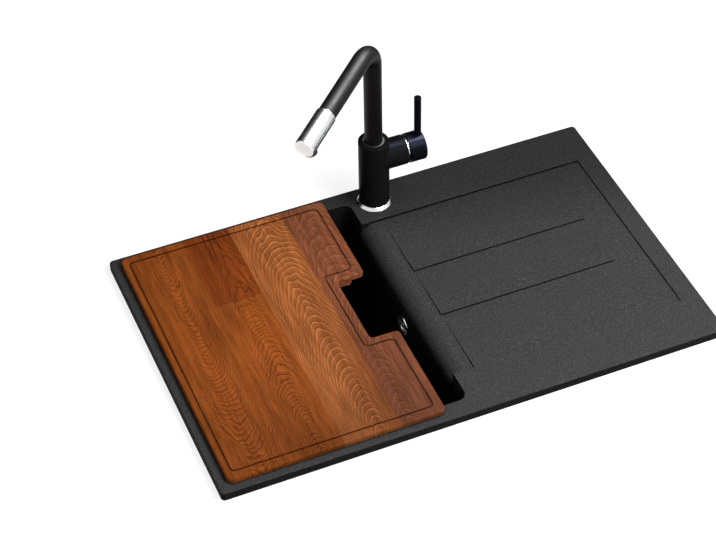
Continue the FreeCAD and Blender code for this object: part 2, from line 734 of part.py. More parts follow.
def make_waste():
    """Waste: pressed flange with its cup, seals, clamping screw and the body under the bowl."""
    drain = (BOWL_X, "0", DRAIN_Z)
    floor = "(flange_sheet - cup_depth)"
    flange = part("strainer_flange", drain)
    revolve(flange, [("0", "0 - cup_depth"), ("cup_radius", "0 - cup_depth"),
                     ("cup_radius", "0 - cup_mouth_depth"),
                     ("cup_mouth_radius", "0 - flange_sheet - flange_sheet / 2"),
                     ("cup_mouth_radius", "0 - flange_sheet"), ("flange_radius", "0 - flange_sheet"),
                     ("flange_radius", "0 - flange_sheet / 2"), ("flange_radius - flange_sheet / 2", "0"),
                     ("cup_mouth_radius + flange_sheet / 2", "0"),
                     ("cup_radius - flange_sheet", "0 - cup_mouth_depth"),
                     ("cup_radius - flange_sheet", floor), ("0", floor)])
    slot = solid(flange, "Cylinder", ("drain_slot_circle", "0", "-2 * cup_depth"), cut=True,
                 Radius="drain_slot_radius", Height="2 * cup_depth")
    repeat_round(flange, slot, DRAIN_SLOTS)
    solid(flange, "Cylinder", ("0", "0", "-2 * cup_depth"), cut=True, Radius="waste_screw_radius",
          Height="2 * cup_depth")

    seal = part("flange_seal", drain)
    top = "0 - flange_sheet"
    revolve(seal, [("drain_hole_radius", f"{top} - flange_seal"), ("flange_radius", f"{top} - flange_seal"),
                   ("flange_radius", top), ("drain_hole_radius", top)])

    under = "(dish_depth - floor_thickness)"
    face = f"({under} - waste_gasket)"
    gasket = part("waste_gasket", drain)
    revolve(gasket, [("drain_hole_radius", face), ("waste_flange_radius", face),
                     ("waste_flange_radius", under),
                     ("drain_hole_radius", under)])

    body = part("waste_body", drain)
    bore = "(waste_cup_radius - waste_cup_wall)"
    step = f"({face} - waste_flange)"
    low = f"({step} - waste_cup_depth)"
    neck = f"({low} - waste_cone_depth)"
    end = f"({neck} - outlet_length)"
    outlet_bore = "(outlet_radius - outlet_wall)"
    revolve(body, [(bore, face), ("waste_flange_radius", face), ("waste_flange_radius", step),
                   ("waste_cup_radius", step), ("waste_cup_radius", low), ("outlet_radius", neck),
                   ("outlet_radius", end), (outlet_bore, end), (outlet_bore, f"{neck} + waste_cup_wall"),
                   (bore, f"{low} + waste_cup_wall")])
    inlet = "0 - inlet_drop"
    solid(body, "Cylinder", (f"{bore} + waste_cup_wall / 2", "0", inlet), way="x", Radius="spigot_radius",
          Height=f"inlet_reach - {bore} - waste_cup_wall / 2")
    solid(body, "Cylinder", (f"{bore} - waste_cup_wall", "0", inlet), way="x", cut=True,
          Radius="pipe_radius + pipe_play", Height="inlet_reach")
    bridge_top = "(0 - cup_depth - waste_bridge_gap)"
    bridge_low = f"({bridge_top} - waste_bridge_height)"
    solid(body, "Box", ("-waste_bridge_width / 2", f"-{bore} - waste_cup_wall / 2", bridge_low),
          Length="waste_bridge_width", Width=f"2 * {bore} + waste_cup_wall", Height="waste_bridge_height")
    solid(body, "Cylinder", ("0", "0", f"{bridge_top} - 2 * waste_bridge_height"), cut=True,
          Radius="waste_screw_radius", Height="4 * waste_bridge_height")

    screw = part("waste_screw", drain)
    revolve(screw, [("0", bridge_low), ("waste_screw_radius", bridge_low), ("waste_screw_radius", floor),
                    ("waste_screw_head_radius", floor),
                    ("waste_screw_head_radius", f"{floor} + waste_screw_head / 2"),
                    ("waste_screw_head_radius * screw_crown_share", f"{floor} + waste_screw_head"),
                    ("0", f"{floor} + waste_screw_head")])


def make_basket():
    """Strainer basket: perforated cup, rubber plug ring under it and the pull knob."""
    drain = (BOWL_X, "0", DRAIN_Z)
    seat = "(flange_sheet - cup_depth)"
    base = f"({seat} + basket_seal)"
    seal = part("basket_seal", drain)
    revolve(seal, [("basket_seal_bore", seat), ("basket_seal_foot", seat),
                   ("basket_seal_radius", base), ("basket_seal_bore", base)])
    cup = part("basket_cup", drain)
    top = f"({base} + basket_height)"
    inner = "(basket_radius - basket_wall)"
    revolve(cup, [("0", base), ("basket_foot_radius", base), ("basket_radius", f"{base} + basket_heel"),
                  ("basket_radius", f"{top} - basket_wall"), ("basket_rim_radius", f"{top} - basket_wall"),
                  ("basket_rim_radius", top), (inner, top), (inner, f"{base} + basket_heel"),
                  ("basket_foot_radius - basket_wall / 2", f"{base} + basket_wall"),
                  ("0", f"{base} + basket_wall")])
    hole = solid(cup, "Cylinder", ("basket_hole_circle", "0", "-2 * cup_depth"), cut=True,
                 Radius="basket_hole_radius", Height="2 * cup_depth")
    repeat_round(cup, hole, BASKET_HOLES)
    solid(cup, "Cylinder", ("0", "0", "-2 * cup_depth"), cut=True, Radius="basket_rivet_radius",
          Height="2 * cup_depth")
    knob = part("basket_knob", drain)
    foot = f"({base} + basket_wall)"
    head = f"({foot} + basket_post_height)"
    crown = f"({head} + basket_knob_height)"
    revolve(knob, [("0", base), ("basket_rivet_radius", base), ("basket_rivet_radius", foot),
                   ("basket_post_radius", foot), ("basket_post_radius", head), ("basket_knob_radius", head),
                   ("basket_knob_radius", f"{crown} - basket_knob_bevel"),
                   ("basket_knob_radius - basket_knob_bevel", crown), ("0", crown)])


def board_corners(left, right, side, notch_half, notch_in, outer, inner):
    """Return the eight rounded corners of the notched board outline."""
    return [(left, f"-{side}", outer), (right, f"-{side}", outer), (right, f"-{notch_half}", inner),
            (notch_in, f"-{notch_half}", inner), (notch_in, notch_half, inner), (right, notch_half, inner),
            (right, side, outer), (left, side, outer)]


def make_board():
    """Wooden board: lip that bears on the deck, thinner core inside the bowl, notch and juice groove."""
    body = part("cutting_board", (BOWL_LEFT, "0", "rim_height"))
    left, right = "(0 - board_bearing)", "(bowl_length - board_end_gap)"
    side = f"({BOWL_WIDTH} / 2 + board_bearing)"
    notch_in = f"({right} - notch_depth)"
    lip = rounded(new_sketch(body, "XY_Plane"),
                  board_corners(left, right, side, "(notch_width / 2)", notch_in, "board_corner",
                                "notch_corner"))
    extrude(body, lip, "board_lip")
    round_edges(body, "board_edge_round", level_edge("board_lip"))
    core_side = f"({BOWL_WIDTH} / 2 - board_play)"
    core = rounded(new_sketch(body, "XY_Plane"),
                   board_corners("board_play", f"({right} - board_rebate)", core_side, "(notch_width / 2)",
                                 notch_in,
                                 "board_corner", "notch_corner"))
    extrude(body, core, "board_core", way="back")
    groove = new_sketch(body, "XY_Plane", "board_lip")
    for extra, corner in (("0", "juice_corner + juice_width"), ("juice_width", "juice_corner")):
        deep = f"(juice_inset + {extra})"
        near = f"(juice_left_inset + {extra})"
        rounded(groove, board_corners(f"({left} + {near})", f"({right} - {deep})", f"({side} - {deep})",
                                      f"(notch_width / 2 + {deep})", f"({notch_in} - {deep})", corner,
                                      corner))
    extrude(body, groove, "juice_depth", cut=True)


def make_tap_foot():
    """Tap foot: ring and seal on the deck, threaded shank through it, washers and lock nut below."""
    foot = (TAP_X, TAP_Y, "rim_height")
    shank_bore = "(shank_radius + shank_play)"
    base = part("tap_base_ring", foot)
    revolve(base, [(shank_bore, "0"), ("base_seal_inner", "0"), ("base_seal_inner", "base_seal"),
                   ("base_seal_outer", "base_seal"), ("base_seal_outer", "0"), ("base_radius", "0"),
                   ("base_radius", "base_height - base_bevel"), ("base_radius - base_bevel", "base_height"),
                   (shank_bore, "base_height")])
    seal = part("tap_base_seal", foot)
    revolve(seal, [("base_seal_inner", "0"), ("base_seal_outer", "0"), ("base_seal_outer", "base_seal"),
                   ("base_seal_inner", "base_seal")])
    shank = part("tap_shank", foot)
    low = "(0 - rim_height - shank_below)"
    revolve(shank, [("shank_radius - shank_wall", low), ("shank_radius", low),
                    ("shank_radius", "base_height + shank_socket"),
                    ("shank_radius - shank_wall", "base_height + shank_socket")])
    under = "(0 - rim_height)"
    rubber_low = f"({under} - rubber_washer)"
    steel_low = f"({rubber_low} - steel_washer)"
    layers = (("tap_rubber_washer", under, rubber_low), ("tap_steel_washer", rubber_low, steel_low))
    for label, top, bottom in layers:
        washer = part(label, foot)
        revolve(washer, [(shank_bore, bottom), ("washer_radius", bottom), ("washer_radius", top),
                         (shank_bore, top)])
    nut = part("tap_lock_nut", foot)
    hexagon = new_sketch(nut, "XY_Plane", f"{steel_low} - lock_nut_height")
    corners = []
    for corner in range(NUT_SIDES):
        angle = f"({corner} * 360 / {NUT_SIDES})"
        level = 2 * corner % NUT_SIDES == 0
        corners.append((f"lock_nut_radius * cos{angle}", "0" if level else f"lock_nut_radius * sin{angle}"))
    polygon(hexagon, corners)
    ring(hexagon, "shank_radius")
    extrude(nut, hexagon, "lock_nut_height")


def make_tap_body():
    """Tap body with its side boss, spout bore, cartridge chamber, shank socket and inlets."""
    body = part("tap_body", (TAP_X, TAP_Y, "rim_height"))
    socket = "(base_height + shank_socket)"
    revolve(body, [("0", "base_height"), ("body_radius", "base_height"),
                   ("body_radius", "body_top - body_edge"),
                   ("body_radius - body_edge", "body_top"), ("0", "body_top")])
    solid(body, "Cylinder", ("0", "0", "boss_height"), way="x", Radius="boss_radius",
          Height="boss_end - boss_edge")
    solid(body, "Cone", ("boss_end - boss_edge", "0", "boss_height"), way="x", Radius1="boss_radius",
          Radius2="boss_radius - boss_edge", Height="boss_edge")
    solid(body, "Cylinder", ("0", "0", "bore_floor"), cut=True, Radius="bush_radius", Height="body_top")
    solid(body, "Cylinder", ("0", "0", "-body_top"), cut=True, Radius="shank_radius",
          Height=f"body_top + {socket}")
    solid(body, "Cylinder", ("cartridge_start", "0", "boss_height"), way="x", cut=True,
          Radius="cartridge_radius", Height="boss_end")
    solid(body, "Cylinder", ("cartridge_end", "0", "boss_height"), way="x", cut=True,
          Radius="cartridge_nut_radius", Height="boss_end")
    solid(body, "Cylinder", ("0", "hose_way_offset", "0"), cut=True, Radius="hose_way_radius",
          Height="body_top")
    for side in ("inlet_spread", "-inlet_spread"):
        solid(body, "Cylinder", (side, "-inlet_offset", socket), cut=True, Radius="inlet_radius",
              Height="inlet_depth")


def make_mixer():
    """Mixer: cartridge with its nut and trim ring, turning fork, tilting stem, knob and lever rod."""
    at = (TAP_X, TAP_Y, "rim_height + boss_height")
    cartridge = part("cartridge_body", at)
    bore = "(rotor_radius + rotor_play)"
    bore_end = "(rotor_start - rotor_play)"
    revolve(cartridge, [("cartridge_start", "0"), ("cartridge_start", "cartridge_radius"),
                        ("cartridge_end", "cartridge_radius"), ("cartridge_end", bore), (bore_end, bore),
                        (bore_end, "0")], "H_Axis")
    nut = part("cartridge_nut", at)
    revolve(nut, [("cartridge_end", "cartridge_nut_bore"), ("cartridge_end", "cartridge_nut_radius"),
                  ("boss_end", "cartridge_nut_radius"), ("boss_end", "cartridge_nut_bore")], "H_Axis")
    trim = part("lever_trim_ring", at)
    trim_end = "(boss_end + trim_width)"
    revolve(trim, [("boss_end", "trim_bore"), ("boss_end", "trim_radius"),
                   (f"{trim_end} - trim_bevel", "trim_radius"), (trim_end, "trim_radius - trim_bevel"),
                   (trim_end, "trim_bore")], "H_Axis")

    rotor = part("cartridge_rotor", at)
    revolve(rotor, [("rotor_start", "0"), ("rotor_start", "rotor_radius"), ("rotor_end", "rotor_radius"),
                    ("rotor_end", "0")], "H_Axis")
    slot = "(stem_width + 2 * stem_side_play)"
    solid(rotor, "Box", ("rotor_start + rotor_back", f"-{slot} / 2", "-2 * rotor_radius"), cut=True,
          Length="rotor_end", Width=slot, Height="4 * rotor_radius")
    solid(rotor, "Cylinder", ("pivot_x", "-2 * rotor_radius", "0"), way="y", cut=True,
          Radius="pivot_pin_radius", Height="4 * rotor_radius")
    pin = part("stem_pivot_pin", at)
    solid(pin, "Cylinder", ("pivot_x", "-pivot_pin_length / 2", "0"), way="y", Radius="pivot_pin_radius",
          Height="pivot_pin_length")

    stem = part("lever_stem", at)
    solid(stem, "Box", ("pivot_x - stem_tail", "-stem_width / 2", "-stem_width / 2"),
          Length="stem_end - pivot_x + stem_tail", Width="stem_width", Height="stem_width")
    solid(stem, "Cylinder", ("pivot_x", "-stem_width", "0"), way="y", cut=True,
          Radius="pivot_pin_radius + pivot_play", Height="2 * stem_width")

    knob = part("lever_knob", at)
    revolve(knob, [("knob_start", "knob_cup_radius"), ("knob_start", "knob_radius"),
                   ("knob_end - knob_bevel", "knob_radius"), ("knob_end", "knob_radius - knob_bevel"),
                   ("knob_end", "0"), ("knob_cup_floor", "0"), ("knob_cup_floor", "knob_cup_radius")],
                   "H_Axis")
    socket = "(stem_width + 2 * stem_seat_play)"
    solid(knob, "Box", ("knob_cup_floor", f"-{socket} / 2", f"-{socket} / 2"), cut=True,
          Length="stem_end - knob_cup_floor", Width=socket, Height=socket)
    solid(knob, "Cylinder", ("rod_x", "0", "rod_foot"), cut=True, Radius="rod_radius + rod_play",
          Height="rod_top")
    solid(knob, "Cylinder", ("grub_x", "0", "0"), way="-z", cut=True, Radius="grub_radius",
          Height="2 * knob_radius")
    rod = part("lever_rod", (f"{TAP_X} + rod_x", TAP_Y, "rim_height + boss_height"))
    revolve(rod, [("0", "rod_foot"), ("rod_radius", "rod_foot"), ("rod_radius", "rod_top - rod_bevel"),
                  ("rod_radius - rod_bevel", "rod_top"), ("0", "rod_top")])
    grub = part("lever_grub_screw", at)
    solid(grub, "Cylinder", ("grub_x", "0", "-stem_width / 2"), way="-z", Radius="grub_radius",
          Height="knob_radius - grub_recess - stem_width / 2")


def make_spout():
    """Spout: bent tube that turns in a bush with two seal rings, held down by a ring at its foot."""
    foot = (TAP_X, TAP_Y, "rim_height")
    tube = part("spout_tube", foot, (value("spout_azimuth"), 0, 0))
    reach = f"(spout_bend_radius * tan({TURN_OF_BEND} / 2))"
    path = new_sketch(tube, "XZ_Plane")
    points = [("0", "spout_foot"), ("0", f"spout_height - {reach}"),
              (f"{reach} * cos(arm_slope)", f"spout_height - {reach} * sin(arm_slope)"),
              ("arm_length * cos(arm_slope)", "spout_height - arm_length * sin(arm_slope)")]
    bent_path(path, points, FreeCAD.Vector(value("spout_bend_radius"), value(f"spout_height - {reach}"),
                                           0), -1)
    mouth = new_sketch(tube, "XY_Plane", "spout_foot")
    ring(mouth, "tube_radius")
    ring(mouth, "tube_radius - tube_wall")
    sweep(tube, mouth, path)

    retainer = part("spout_retainer", foot)
    revolve(retainer, [("tube_radius", "spout_foot"), ("retainer_radius", "spout_foot"),
                       ("retainer_radius", "spout_foot + retainer_height"),
                       ("tube_radius", "spout_foot + retainer_height")])
    bush = part("spout_bush", foot)
    bore = "(tube_radius + bush_play)"
    deep = "(tube_radius + ring_play + 2 * ring_section)"
    corners = [(bore, "bush_foot"), ("bush_radius", "bush_foot"), ("bush_radius", "body_top - bush_sink"),
               (bore, "body_top - bush_sink")]
    for height in ("ring_high", "ring_low"):
        corners += [(bore, f"{height} + ring_section"), (deep, f"{height} + ring_section"),
                    (deep, f"{height} - ring_section"), (bore, f"{height} - ring_section")]
    revolve(bush, corners)
    for label, height in (("spout_ring_upper", "ring_high"), ("spout_ring_lower", "ring_low")):
        seal = part(label, foot)
        section = ring(new_sketch(seal, "XZ_Plane"), "ring_section",
                       "tube_radius + ring_play + ring_section", height)
        turned = seal.newObject("PartDesign::Revolution", "turned")
        turned.Profile = section
        turned.ReferenceAxis = (section, ["V_Axis"])
        turned.Angle = 360
        DOC.recompute()


def make_head():
    """Pull-out head: shell, docking stem, and the outlet under its tip; and the guide in the arm."""
    at = (TAP_X, TAP_Y, "rim_height + spout_height")
    turn = (value("spout_azimuth"), value("arm_slope"), 0)
    guide = part("head_guide", at, turn)
    bore = "(head_stem_radius + guide_play)"
    guide_start = "(arm_length - guide_length)"
    revolve(guide, [(guide_start, bore), (guide_start, "tube_radius - tube_wall"),
                    ("arm_length", "tube_radius - tube_wall"), ("arm_length", bore)], "H_Axis")
    start = "(arm_length + head_gap)"
    end = f"({start} + head_length)"
    inner = "(head_radius - head_wall)"
    shell = part("head_shell", at, turn)
    revolve(shell, [(start, "head_stem_radius"), (start, "head_radius - head_bevel / 2"),
                    (f"{start} + head_bevel / 2", "head_radius"), (f"{end} - head_bevel", "head_radius"),
                    (end, "head_radius - head_bevel"), (end, "0"), (f"{end} - head_wall", "0"),
                    (f"{end} - head_wall", inner), (f"{start} + head_collar", inner),
                    (f"{start} + head_collar", "head_stem_radius")], "H_Axis")
    outlet_s = f"({end} - aerator_from_end)"
    solid(shell, "Cylinder", (outlet_s, "0", "0"), way="-z", cut=True, Radius="aerator_radius",
          Height="2 * head_radius")
    stem = part("head_stem", at, turn)
    tail = f"({start} - head_stem_length)"
    hole = "(head_stem_radius - head_stem_wall)"
    revolve(stem, [(tail, hole), (tail, "head_stem_radius"), (f"{start} + head_collar", "head_stem_radius"),
                   (f"{start} + head_collar", hole)], "H_Axis")
    outlet = part("aerator_housing", at, turn)
    solid(outlet, "Cylinder", (outlet_s, "0", "-aerator_top"), way="-z", Radius="aerator_radius",
          Height="aerator_bottom - aerator_top")
    solid(outlet, "Cylinder", (outlet_s, "0", "0"), way="-z", cut=True,
          Radius="aerator_radius - aerator_wall",
          Height="2 * aerator_bottom")
    insert = part("aerator_insert", at, turn)
    mesh_top = "(aerator_bottom - aerator_insert_recess - aerator_insert)"
    solid(insert, "Cylinder", (outlet_s, "0", f"-{mesh_top}"), way="-z",
          Radius="aerator_radius - aerator_wall - aerator_play", Height="aerator_insert")
    for along, across in ((1, 0), (0, 1), (-1, 0), (0, -1), (0, 0)):
        jet = (f"{outlet_s} + aerator_jet_circle * {along}", f"aerator_jet_circle * {across}", "0")
        solid(insert, "Cylinder", jet, way="-z", cut=True, Radius="aerator_jet_radius",
              Height="2 * aerator_bottom")


def write_parts():
    """Check every sub-part and write each one to its own file."""
    DOC.recompute()
    os.makedirs("parts", exist_ok=True)
    for item in DOC.Objects:
        if "Invalid" in item.State or not item.isValid():
            raise RuntimeError(f"{item.Label} of {item.TypeId} did not build: {item.State}")
    for body in NODES:
        shape = body.Shape
        if not shape.isValid() or len(shape.Solids) != 1:
            raise RuntimeError(f"{body.Label} is not one valid solid: {len(shape.Solids)}")
        shape.exportStep(f"parts/{body.Label}.step")


fill_sheet()
make_basin()
make_overflow()
make_waste()
make_basket()
make_board()
make_tap_foot()
make_tap_body()
make_mixer()
make_spout()
make_head()
write_parts()
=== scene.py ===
"""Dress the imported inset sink: stone casting, wooden board, overflow, waste and mixer tap.

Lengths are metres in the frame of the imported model. The worktop plane, on which the rim of
the sink rests, is z = 0; X runs along the sink, Y to the back and Z up.
"""
import json
import logging
import math
from collections.abc import Callable
from dataclasses import dataclass, field
from enum import Enum
from typing import Optional, Union

import bpy
from mathutils import Matrix, Vector


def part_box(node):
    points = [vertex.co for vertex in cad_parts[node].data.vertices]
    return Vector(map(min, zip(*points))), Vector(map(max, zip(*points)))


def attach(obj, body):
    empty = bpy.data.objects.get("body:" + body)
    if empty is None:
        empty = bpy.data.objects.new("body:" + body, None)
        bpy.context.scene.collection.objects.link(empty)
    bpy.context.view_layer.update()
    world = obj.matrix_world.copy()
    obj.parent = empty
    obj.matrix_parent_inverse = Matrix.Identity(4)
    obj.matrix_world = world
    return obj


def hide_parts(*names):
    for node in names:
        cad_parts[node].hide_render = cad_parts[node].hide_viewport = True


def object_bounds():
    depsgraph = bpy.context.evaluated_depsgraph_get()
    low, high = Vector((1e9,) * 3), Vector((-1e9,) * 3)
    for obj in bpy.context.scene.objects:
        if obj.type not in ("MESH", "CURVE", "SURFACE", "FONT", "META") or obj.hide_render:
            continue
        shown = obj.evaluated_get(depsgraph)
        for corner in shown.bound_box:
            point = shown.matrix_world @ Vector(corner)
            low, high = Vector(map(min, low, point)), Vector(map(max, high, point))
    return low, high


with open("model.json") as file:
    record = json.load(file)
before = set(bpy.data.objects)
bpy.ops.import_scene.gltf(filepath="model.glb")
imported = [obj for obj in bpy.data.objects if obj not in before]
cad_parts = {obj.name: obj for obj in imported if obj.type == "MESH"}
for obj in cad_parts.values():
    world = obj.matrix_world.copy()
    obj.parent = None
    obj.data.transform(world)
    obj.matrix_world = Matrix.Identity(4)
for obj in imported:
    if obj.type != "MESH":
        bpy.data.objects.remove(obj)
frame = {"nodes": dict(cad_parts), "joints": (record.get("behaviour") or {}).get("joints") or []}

CAD_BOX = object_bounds()
LOG = logging.getLogger("inset_sink")
MILLIMETRE = 0.001
ORIGIN = (0.0, 0.0, 0.0)
UP = Vector((0.0, 0.0, 1.0))
TO_DRAINER = Vector((1.0, 0.0, 0.0))
INTO_BOWL = Vector((-1.0, 0.0, 0.0))
TO_BACK = Vector((0.0, 1.0, 0.0))
BLACK = (0.0, 0.0, 0.0, 1.0)
WHITE = (1.0, 1.0, 1.0, 1.0)
# Socket types of the shared node groups.
NUMBER = "NodeSocketFloat"
PLACE = "NodeSocketVector"

Triple = tuple[float, float, float]
Colour = Triple
Range = tuple[float, float]
Profile = list[tuple[float, float]]
Socket = bpy.types.NodeSocket
Node = bpy.types.Node
Tree = bpy.types.NodeTree
Material = bpy.types.Material
Piece = bpy.types.Object
Source = Union[Socket, float]
Paint = Union[Socket, Colour]


@dataclass(frozen=True)
class Pattern:
    """A noise field: its waves per metre along each axis, its finer octaves and its shift."""

    scale: Triple
    detail: float = 2.0
    roughness: float = 0.5
    shift: Triple = ORIGIN


class Nodes:
    """Shorthand for wiring one node tree."""

    NOISE_MIDDLE: Range = (0.3, 0.7)

    def __init__(self, tree: Tree) -> None:
        """Keep the tree that is wired."""
        self.tree = tree

    def add(self, kind: str, **settings: object) -> Node:
        """Add a node.

        Args:
            kind: The node's type name.
            settings: Properties of the node to set.

        Returns:
            The new node.
        """
        node = self.tree.nodes.new(kind)
        for name, setting in settings.items():
            setattr(node, name, setting)
        return node

    def feed(self, socket: Socket, source: Source) -> None:
        """Link a source into a socket, or set it as a plain value.

        Args:
            socket: The socket that takes the source.
            source: Another socket, or a value.
        """
        if isinstance(source, Socket):
            self.tree.links.new(source, socket)
        else:
            socket.default_value = source

    def math(self, operation: str, first: Source, second: Source = 0.0) -> Socket:
        """Work out one sum.

        Args:
            operation: The Math node's operation.
            first: The first operand.
            second: The second operand, where the operation has one.

        Returns:
            The result's socket.
        """
        node = self.add("ShaderNodeMath", operation=operation)
        self.feed(node.inputs[0], first)
        self.feed(node.inputs[1], second)
        return node.outputs[0]

    def product(self, first: Source, *others: Source) -> Socket:
        """Multiply two or more values.

        Args:
            first: The first factor.
            others: The other factors.

        Returns:
            The product's socket.
        """
        for other in others:
            first = self.math("MULTIPLY", first, other)
        return first

    def spread(self, value: Source, low: Source, high: Source, to_low: Source = 0.0,
               to_high: Source = 1.0) -> Socket:
        """Map a value smoothly from one range to another.

        Args:
            value: What is mapped.
            low: Where the range starts.
            high: Where the range ends.
            to_low: What the start becomes.
            to_high: What the end becomes.

        Returns:
            The mapped value's socket.
        """
        node = self.add("ShaderNodeMapRange", interpolation_type="SMOOTHSTEP")
        for socket, source in zip(node.inputs[:5], (value, low, high, to_low, to_high)):
            self.feed(socket, source)
        return node.outputs[0]

    def vary(self, noise: Socket, to_low: Source, to_high: Source) -> Socket:
        """Map the middle values of a noise field, where most of it lies, to a range.

        Args:
            noise: The field's value.
            to_low: What its low values become.
            to_high: What its high values become.

        Returns:
            The mapped value's socket.
        """
        return self.spread(noise, *self.NOISE_MIDDLE, to_low, to_high)

    def noise(self, vector: Socket, scale: Source, detail: float = 2.0, roughness: float = 0.5) -> Socket:
        """Sample a noise field.

        Args:
            vector: Where it is sampled.
            scale: Waves per metre.
            detail: Number of finer octaves.
            roughness: Strength of the finer octaves.

        Returns:
            The value's socket.
        """
        node = self.add("ShaderNodeTexNoise")
        self.feed(node.inputs["Vector"], vector)
        self.feed(node.inputs["Scale"], scale)
        node.inputs["Detail"].default_value = detail
        node.inputs["Roughness"].default_value = roughness
        return node.outputs["Fac"]

    def stretch(self, vector: Socket, scale: Triple, shift: Triple = ORIGIN) -> Socket:
        """Scale and shift a coordinate along its axes.

        Args:
            vector: The coordinate.
            scale: Factor along each axis.
            shift: Shift along each axis, after scaling.

        Returns:
            The new coordinate's socket.
        """
        node = self.add("ShaderNodeMapping")
        self.feed(node.inputs["Vector"], vector)
        node.inputs["Scale"].default_value = scale
        node.inputs["Location"].default_value = shift
        return node.outputs[0]

    def pattern(self, place: Socket, pattern: Pattern) -> Socket:
        """Return the value of a pattern at a place."""
        drawn = self.stretch(place, pattern.scale, pattern.shift)
        return self.noise(drawn, 1.0, pattern.detail, pattern.roughness)

    def axes(self, vector: Socket) -> tuple[Socket, Socket, Socket]:
        """Split a vector.

        Args:
            vector: What is split.

        Returns:
            Its X, Y and Z.
        """
        node = self.add("ShaderNodeSeparateXYZ")
        self.feed(node.inputs[0], vector)
        return node.outputs[0], node.outputs[1], node.outputs[2]

    def ramp(self, factor: Socket, stops: list[tuple[float, Colour]]) -> Socket:
        """Turn a value into a colour, in flat steps.

        Args:
            factor: The value, from 0 to 1.
            stops: Where each step starts and its linear colour, in order.

        Returns:
            The colour's socket.
        """
        node = self.add("ShaderNodeValToRGB")
        self.feed(node.inputs[0], factor)
        node.color_ramp.interpolation = "CONSTANT"
        elements = node.color_ramp.elements
        while len(elements) < len(stops):
            elements.new(1.0)
        for element, (place, colour) in zip(elements, stops):
            element.position = place
            element.color = (*colour, 1.0)
        return node.outputs[0]

    def blend(self, factor: Source, first: Paint, second: Paint, way: str = "MIX") -> Socket:
        """Mix two colours.

        Args:
            factor: Share of the second colour.
            first: The colour at 0, a socket or a linear colour.
            second: The colour at 1, a socket or a linear colour.
            way: Blend type of the Mix node.

        Returns:
            The mixed colour's socket.
        """
        node = self.add("ShaderNodeMix", data_type="RGBA", blend_type=way)
        self.feed(node.inputs["Factor"], factor)
        for socket, colour in zip((node.inputs[6], node.inputs[7]), (first, second)):
            self.feed(socket, colour if isinstance(colour, Socket) else (*colour, 1.0))
        return node.outputs[2]

    def grey(self, level: Socket) -> Socket:
        """Turn a level into a colour.

        Args:
            level: The level, from 0 to 1.

        Returns:
            The socket of a grey of that level.
        """
        node = self.add("ShaderNodeCombineColor")
        for socket in node.inputs:
            self.feed(socket, level)
        return node.outputs[0]

    def shaded(self, tone: Socket, shade: Socket) -> Socket:
        """Return a colour times a level."""
        return self.blend(1.0, tone, self.grey(shade), "MULTIPLY")

    def group(self, tree: Tree, **sources: Source) -> Node:
        """Place a shared group and feed its inputs.

        Args:
            tree: The group.
            sources: What its inputs take, by their names.

        Returns:
            The group's node.
        """
        node = self.add("ShaderNodeGroup", node_tree=tree)
        for name, source in sources.items():
            self.feed(node.inputs[name], source)
        return node


